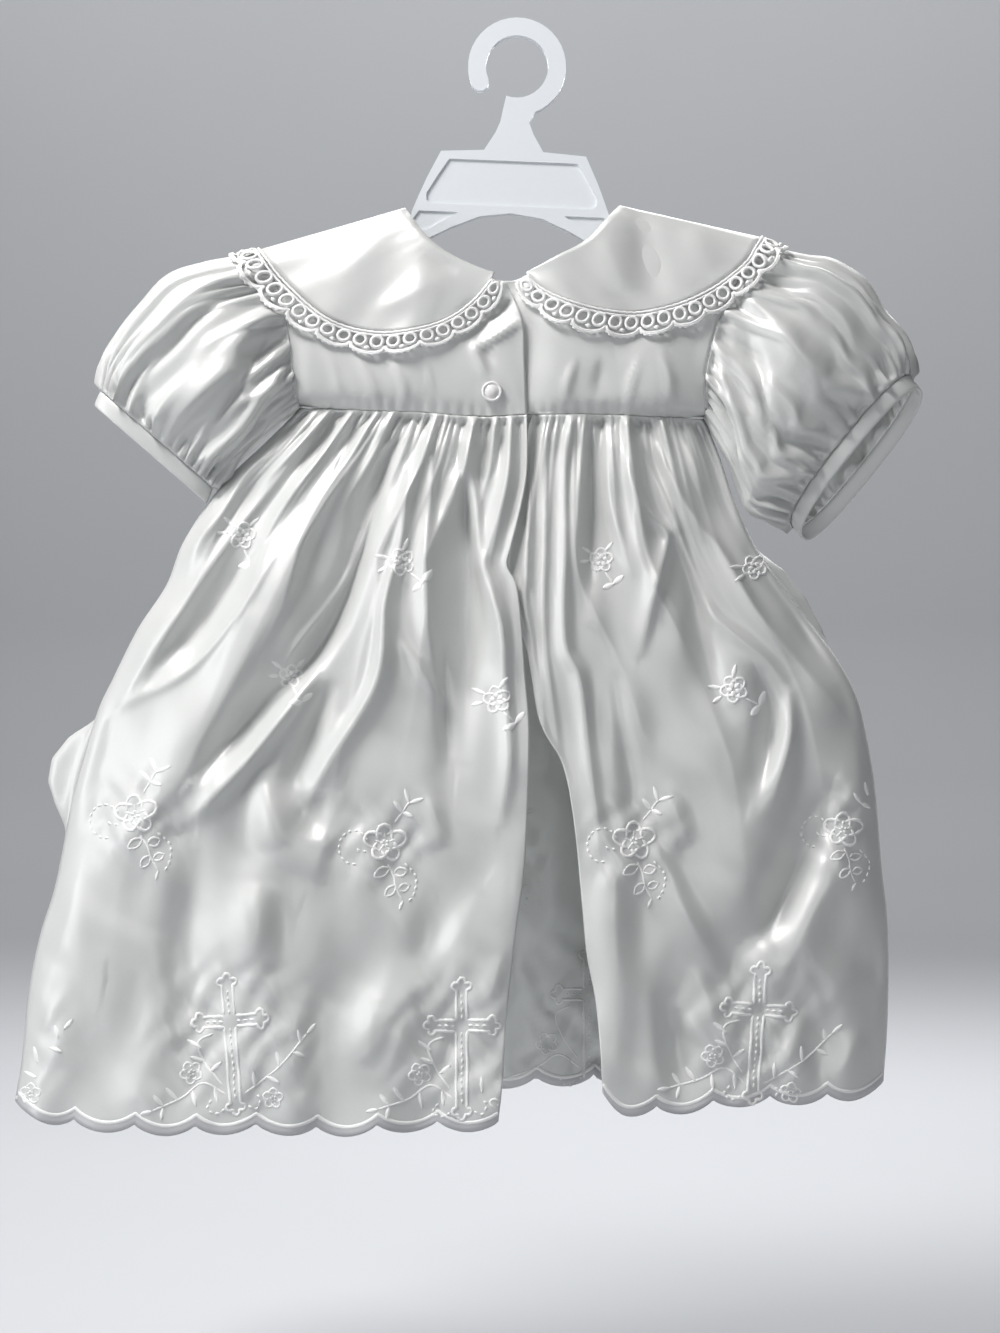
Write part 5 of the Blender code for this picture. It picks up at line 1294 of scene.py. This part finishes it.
class Needle:
    """Sews one motif onto the cloth. Its paths are in millimetres from the motif's middle."""

    def __init__(self, threads, tree, side, row):
        self.threads = threads
        self.tree = tree
        self.side = side
        self.x, self.z, degrees, self.size = row
        self.angle = math.radians(degrees)

    def placed(self, path):
        """A path turned, scaled and moved to the motif's place."""
        local = np.asarray(path, float) * MM * self.size
        cosine, sine = math.cos(self.angle), math.sin(self.angle)
        return (self.x * MM + local[:, 0] * cosine - local[:, 1] * sine,
                self.z * MM + local[:, 0] * sine + local[:, 1] * cosine)

    def on_cloth(self, x, z, lift=0.0):
        """Points that lie on the cloth at x, z as seen, and its normals; None past its edge."""
        points = []
        normals = []
        found = FIRST_DEPTH
        side = self.side
        for one, two in zip(np.ravel(x), np.ravel(z)):
            for _ in range(2):
                start = place_in_depth(np.array(one), np.array(found), np.array(two), side)
                hit, out, _, _ = self.tree.ray_cast(
                    Vector((start[0], side * RAY_START, start[2])), Vector((0, -side, 0)))
                if hit is None:
                    break
                found = side * hit.y
            if hit is None or (points and abs(hit.y - points[-1][1]) > CLOTH_JUMP):
                return None, None
            out = out if out.y * side > 0 else -out
            points.append(np.array(hit + out * lift))
            normals.append(tuple(out))
        return np.array(points), np.array(normals)

    def sewn(self, path, lift):
        """Length of a path, and a way to read its points on the cloth at lengths along it."""
        x, z = self.placed(path)
        passed = np.concatenate([[0], np.cumsum(np.hypot(np.diff(x), np.diff(z)))])

        def read(at):
            return self.on_cloth(np.interp(at, passed, x), np.interp(at, passed, z), lift)

        return passed[-1], read

    def stitches(self, path):
        """Running stitches along a path."""
        length, read = self.sewn(path, STITCH_LIFT)
        pitch = STITCH + STITCH_GAP
        for k in range(max(1, int(length / pitch))):
            points, normals = read(np.linspace(k * pitch, k * pitch + STITCH, 4))
            if points is not None:
                self.threads.cord(points, THREAD, 5, False, normals)

    def line(self, path, radius=EDGE_CORD):
        """A line in close satin stitch along a path."""
        length, read = self.sewn(path, CORD_LIFT)
        count = max(4, int(length / CORD_STEP))
        points, normals = read(np.linspace(0, length, count))
        if points is not None:
            ridged = radius * (1 + CORD_RIDGE * np.cos(math.pi * np.arange(count)))
            self.threads.cord(points, ridged, 6, False, normals, CORD_FLAT)

    def curve(self, rows, radius=THREAD):
        """A line of satin stitch on a smooth curve through a few points."""
        self.line(smooth_path(rows, 8) / MM, radius)

    def dashes(self, rows):
        """Running stitches on a smooth curve through a few points."""
        self.stitches(smooth_path(rows, 8) / MM)

    def leaf(self, root, tip, width):
        """A leaf or petal filled with satin stitch: a low pad with ridged edges."""
        root, tip = np.array(root, float), np.array(tip, float)
        run = tip - root
        across = np.array([-run[1], run[0]]) / np.linalg.norm(run)
        long_count, wide_count = PAD_GRID
        lines = []
        lift = []
        for s in np.linspace(0, 1, long_count):
            half = width * math.sin(math.pi * (LEAF_END + (1 - 2 * LEAF_END) * s)) ** LEAF_POWER
            for t in np.linspace(-1, 1, wide_count):
                lines.append(root + run * s + across * half * t)
                lift.append(PAD_HEIGHT * (1 - t * t) + PAD_FOOT)
        points, normals = self.on_cloth(*self.placed(lines))
        if points is not None:
            raised = points + normals * np.array(lift)[:, None]
            self.threads.grid(raised.reshape(long_count, wide_count, 3))

    def leaves(self, pairs, width):
        """Filled leaves, each from its root to its tip."""
        for root, tip in pairs:
            self.leaf(root, tip, width)

    def petals(self, centre, length, width, turn, radius=THREAD):
        """Five outlined petals round a point."""
        for angle in fifths(turn):
            self.line(petal_path(centre, angle, length, width), radius)

    def flower(self, centre, size):
        """Five small filled petals round a point."""
        middle = np.array(centre, float)
        for angle in fifths(0.5):
            out = np.array([math.cos(angle), math.sin(angle)])
            self.leaf(middle + out * FLOWER_HEART, middle + out * size, size * FLOWER_PETAL)


def sprig(needle):
    """A small flower between leaves, with a stalk and a pair of leaves below it."""
    needle.petals((0, 2), 4.8, 2.0, 0.5, SPRIG_CORD)
    needle.flower((0, 2), 2.6)
    needle.leaves(SPRIG_LEAVES, 1.2)
    needle.curve([(2, -2), (4, -4), (6.5, -6.5)])
    needle.leaves([((6.5, -6.5), (10, -2.5)), ((6.5, -6.5), (2.5, -9))], 1.8)


def spray(needle):
    """An outlined flower with a dashed curl, a leafed twig above and a hanging one below."""
    for angle, (length, width) in zip(fifths(0.35), SPRAY_PETALS):
        needle.line(petal_path((0, 0), angle, length, width))
        vein = np.array([math.cos(angle), math.sin(angle)])
        needle.line([vein * 1.5, vein * 5.0], THREAD)
    needle.flower((0, 0), 2.0)
    turn = np.linspace(0.4, 2 * math.pi - 0.9, 20)
    needle.stitches(np.stack([-14 + 6.8 * np.cos(turn), -2 + 7.6 * np.sin(turn)], axis=-1))
    needle.dashes([(-8, -4), (-12, -3), (-13, 0)])
    needle.curve([(4, 9), (8, 14), (11, 18), (17, 20)])
    needle.leaves([((8, 14), (4, 19)), ((8, 14), (12.5, 12))], 1.6)
    needle.leaves([((11, 18), (9, 24.5)), ((11, 18), (17.5, 20))], 1.5)
    needle.curve([(1, -9), (4, -15), (5, -20), (8, -26)])
    for root, tip, width in SPRAY_LOOPS:
        needle.line(loop_path(root, tip, width), THREAD)
    needle.dashes([(9, -9), (14, -15), (13, -23), (9, -28)])
    needle.leaf((8, -26), (6.5, -30), 1.1)


def cross(needle):
    """A plain corded cross with budded ends between two leafy sprays."""
    middle = np.array([0.0, CROSS_HEART])
    for ax, az, reach in CROSS_ARMS:
        axis = np.array([ax, az], float)
        side = np.array([az, -ax], float) * CROSS_BAR
        tip = middle + axis * reach
        needle.line([middle + axis * CROSS_BAR + side, tip + side])
        needle.line([middle + axis * CROSS_BAR - side, tip - side])
        needle.stitches([middle + axis * 3, tip])
        for degrees in CROSS_BUDS:
            angle = math.radians(degrees)
            out = np.array([ax * math.cos(angle) - az * math.sin(angle),
                            ax * math.sin(angle) + az * math.cos(angle)])
            needle.line(petal_path(tip + out * 0.5, math.atan2(out[1], out[0]), 4.0, 1.7))
    needle.curve([(-4, -24), (-14, -18), (-24, -24), (-38, -29)])
    needle.curve([(-5, -20), (-12, -10), (-15, 0), (-8, 4)])
    needle.leaves(CROSS_LEAVES_LEFT, 1.5)
    needle.petals((-19, -13), 5.0, 2.1, 0.8)
    needle.flower((-19, -13), 1.6)
    needle.curve([(4, -24), (12, -19), (22, -12), (34, 1)])
    needle.leaves(CROSS_LEAVES_RIGHT, 1.4)
    needle.petals((17, -27), 4.6, 1.9, 0.2)
    needle.flower((17, -27), 1.5)
    needle.dashes([(3, -28), (9, -31), (11, -26), (6, -25)])
    needle.dashes([(-3, -28), (-8, -32), (-13, -30), (-10, -25)])


def embroidery(name, tree, side, tables):
    """All the embroidery of one piece of the skirt, as one piece."""
    threads = Threads()
    for draw, table in zip((sprig, spray, cross), tables):
        for row in table:
            draw(Needle(threads, tree, side, row))
    return threads.piece(name, THREADS, "satin")


def hem_cord(name, grid, scallops, side):
    """The stitched scallop line of a hem, in padded satin stitch."""
    rows, columns = grid.shape[:2]
    count = int(np.linalg.norm(np.diff(grid[-1], axis=0), axis=1).sum() / HEM_STEP)
    u = np.linspace(HEM_END, 1 - HEM_END, count)
    length = np.linalg.norm(grid[-1] - grid[0], axis=-1).mean()
    at_row = np.interp(1 - hem_line(u, scallops) / length, rows_down(rows), np.arange(rows))
    normal = outward_normals(grid, -side)
    normal = normal * np.where(normal[..., 1:2] * side < 0, -1, 1)
    points = read_grid(grid, at_row, u * (columns - 1))
    out = read_grid(normal, at_row, u * (columns - 1))
    threads = Threads()
    ridge_width = HEM_CORD * (1 + HEM_RIDGE * np.cos(math.pi * np.arange(count)))
    threads.cord(points + out * HEM_LIFT, ridge_width, 7, False, out, HEM_FLAT)
    return threads.piece(name, THREADS, "satin")


def lathe_button():
    """The pearl button with its raised rim."""
    node_low, node_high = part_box("pearl_button")
    seat = node_high[1]
    x, z = (node_low[0] + node_high[0]) / 2, (node_low[2] + node_high[2]) / 2
    turn = np.linspace(0, 2 * math.pi, BUTTON_SIDES, endpoint=False)
    rings = []
    for share, height in BUTTON_PROFILE:
        radius = share * BUTTON_RADIUS
        rings.append(np.stack([x + radius * np.cos(turn), np.full(BUTTON_SIDES, seat - height * MM),
                               z + radius * np.sin(turn)], axis=-1))
    rings = np.array(rings)
    return make_piece("pearl_button", rings.reshape(-1, 3),
                      grid_quads(*rings.shape[:2], closed_across=True), PEARL,
                      ("pearl_button",))


def area_light(name, place, aim, size, power, colour):
    """A soft rectangular lamp aimed at a point."""
    lamp = bpy.data.lights.new(name, "AREA")
    lamp.shape = "RECTANGLE"
    lamp.size, lamp.size_y = size
    lamp.energy = power
    lamp.color = colour
    item = bpy.data.objects.new(name, lamp)
    item.location = place
    item.rotation_euler = (Vector(aim) - Vector(place)).to_track_quat("-Z", "Y").to_euler()
    bpy.context.scene.collection.objects.link(item)


def studio():
    """Pale floor and backdrop, soft lamps and the camera."""
    sheet = np.array([[(-BACKDROP_HALF, y, FLOOR_Z + up), (BACKDROP_HALF, y, FLOOR_Z + up)]
                      for y, up in BACKDROP])
    mesh = bpy.data.meshes.new("floor")
    mesh.from_pydata(sheet.reshape(-1, 3).tolist(), [], grid_quads(*sheet.shape[:2]))
    mesh.shade_smooth()
    mesh.materials.append(make_material("floor", (0.44, 0.45, 0.47), (0.46, 0.47, 0.49),
                                        roughness=0.8, specular=0.2, grain=3.0, bump=0.0))
    floor = bpy.data.objects.new("floor", mesh)
    bpy.context.scene.collection.objects.link(floor)
    for lamp in LAMPS:
        area_light(*lamp)
    world = bpy.data.worlds.new("studio")
    world.use_nodes = True
    background = world.node_tree.nodes["Background"]
    background.inputs[0].default_value = SKY
    background.inputs[1].default_value = SKY_STRENGTH
    bpy.context.scene.world = world
    view = bpy.data.cameras.new("camera")
    view.lens = LENS
    view.sensor_width = SENSOR
    camera = bpy.data.objects.new("camera", view)
    camera.location = (VIEW_CENTRE_X, -VIEW_DISTANCE, VIEW_CENTRE_Z)
    camera.rotation_euler = (math.radians(90), 0, 0)
    bpy.context.scene.collection.objects.link(camera)
    bpy.context.scene.camera = camera
    bpy.context.scene.view_settings.view_transform = "Standard"


def finish_hanger():
    """Give the hanger its plastic and its rounded edges."""
    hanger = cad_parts["hanger"]
    hanger.data.materials.clear()
    hanger.data.materials.append(PLASTIC)
    edge = hanger.modifiers.new("edges", "BEVEL")
    edge.width = HANGER_EDGE
    edge.segments = 3
    edge.limit_method = "ANGLE"
    edge.angle_limit = math.radians(HANGER_CORNER)


def collars(yokes, rings_of_sleeves):
    """Both halves of the collar with their lace, by side."""
    tables = {"left": ((COLLAR_NECK_LEFT, COLLAR_EDGE_LEFT, LACE_EDGE_LEFT),
                       (FRONT_NECK_LEFT, FRONT_EDGE_LEFT, FRONT_LACE_LEFT)),
              "right": ((COLLAR_NECK_RIGHT, COLLAR_EDGE_RIGHT, LACE_EDGE_RIGHT),
                        (FRONT_NECK_RIGHT, FRONT_EDGE_RIGHT, FRONT_LACE_RIGHT))}
    pieces = {}
    for side_name, (back, front) in tables.items():
        rings = rings_of_sleeves[side_name]
        back_tree = tree_of([(yokes[f"back_yoke_{side_name}"][1], False), (rings, True)])
        front_tree = tree_of([(yokes["front_yoke"][1], False), (rings, True)])
        item, band, normal = collar_half(side_name, back, front, back_tree, front_tree)
        pieces[side_name] = (item, lace_band(side_name, band, normal))
    return pieces


def build():
    back_motifs = (SPRIGS_BACK, SPRAYS_BACK, CROSSES_BACK)
    front_motifs = (SPRIGS_FRONT, SPRAYS_FRONT, CROSSES_FRONT)
    yokes = bodice()
    left, left_grid = skirt("back_skirt_left", BACK, LEFT_GRID,
                            (WAIST_LEFT, HEM_LEFT, SIDE_LEFT, OPENING_LEFT), CREASES_LEFT,
                            PLEATS_LEFT, back_motifs, SCALLOPS_LEFT, [0], lap_raise)
    right, right_grid = skirt("back_skirt_right", BACK, RIGHT_GRID,
                              (WAIST_RIGHT, HEM_RIGHT, OPENING_RIGHT, SIDE_RIGHT), CREASES_RIGHT,
                              PLEATS_RIGHT, back_motifs, SCALLOPS_RIGHT, [-1], right_step)
    front, front_grid = skirt("front_skirt", FRONT, FRONT_GRID,
                              (WAIST_FRONT, HEM_FRONT, SIDE_LEFT, SIDE_RIGHT), CREASES_FRONT,
                              PLEATS_FRONT, front_motifs, SCALLOPS_FRONT, [0, -1])
    sleeves = {"left": sleeve("left", SLEEVE_TOP_LEFT, SLEEVE_LOW_LEFT, ARMHOLE_LEFT,
                              CUFF_SKEW_LEFT, CREASES_SLEEVE_LEFT),
               "right": sleeve("right", SLEEVE_TOP_RIGHT, SLEEVE_LOW_RIGHT, ARMHOLE_RIGHT,
                               CUFF_SKEW_RIGHT, CREASES_SLEEVE_RIGHT)}
    halves = collars(yokes, {name: rings for name, (_, _, rings) in sleeves.items()})
    skirts = (("left", "back_yoke_left", left, left_grid, SCALLOPS_LEFT, BACK, back_motifs,
               CUT_SKIRT_LEFT),
              ("right", "back_yoke_right", right, right_grid, SCALLOPS_RIGHT, BACK, back_motifs,
               CUT_SKIRT_RIGHT),
              ("front", "front_yoke", front, front_grid, SCALLOPS_FRONT, FRONT, front_motifs,
               CUT_SKIRT_FRONT))
    for word, yoke_name, item, grid, scallops, side, motifs, flat in skirts:
        sewn = [embroidery(f"embroidery_{word}", tree_of([(grid, False)]), side, motifs),
                hem_cord(f"hem_cord_{word}", grid, scallops, side)]
    lathe_button()
    finish_hanger()
    studio()


# its third, darker grey is painted shade, laid on the cloth beyond the hem cord
SATIN = make_material("satin", (0.78, 0.79, 0.78), (0.75, 0.76, 0.75), roughness=0.40,
                      specular=0.8, grain=900.0, bump=0.08, painted_shade_colour=(0.62, 0.62, 0.64),
                      through=0.22, ior=1.9)
LACE = make_material("lace", (0.90, 0.90, 0.89), (0.84, 0.84, 0.84), roughness=0.6,
                     specular=0.3, grain=2500.0, bump=0.6, sheen=0.1)
THREADS = make_material("threads", (0.93, 0.93, 0.92), (0.84, 0.84, 0.84), roughness=0.45,
                        specular=0.5, grain=3500.0, bump=0.6, sheen=0.1)
PEARL = make_material("pearl", (0.82, 0.81, 0.80), (0.76, 0.75, 0.76), roughness=0.16,
                      specular=0.6, grain=260.0, bump=0.05)
PLASTIC = make_material("plastic", (0.76, 0.79, 0.82), (0.74, 0.77, 0.81), roughness=0.34,
                        specular=0.5, grain=400.0, bump=0.05)
build()
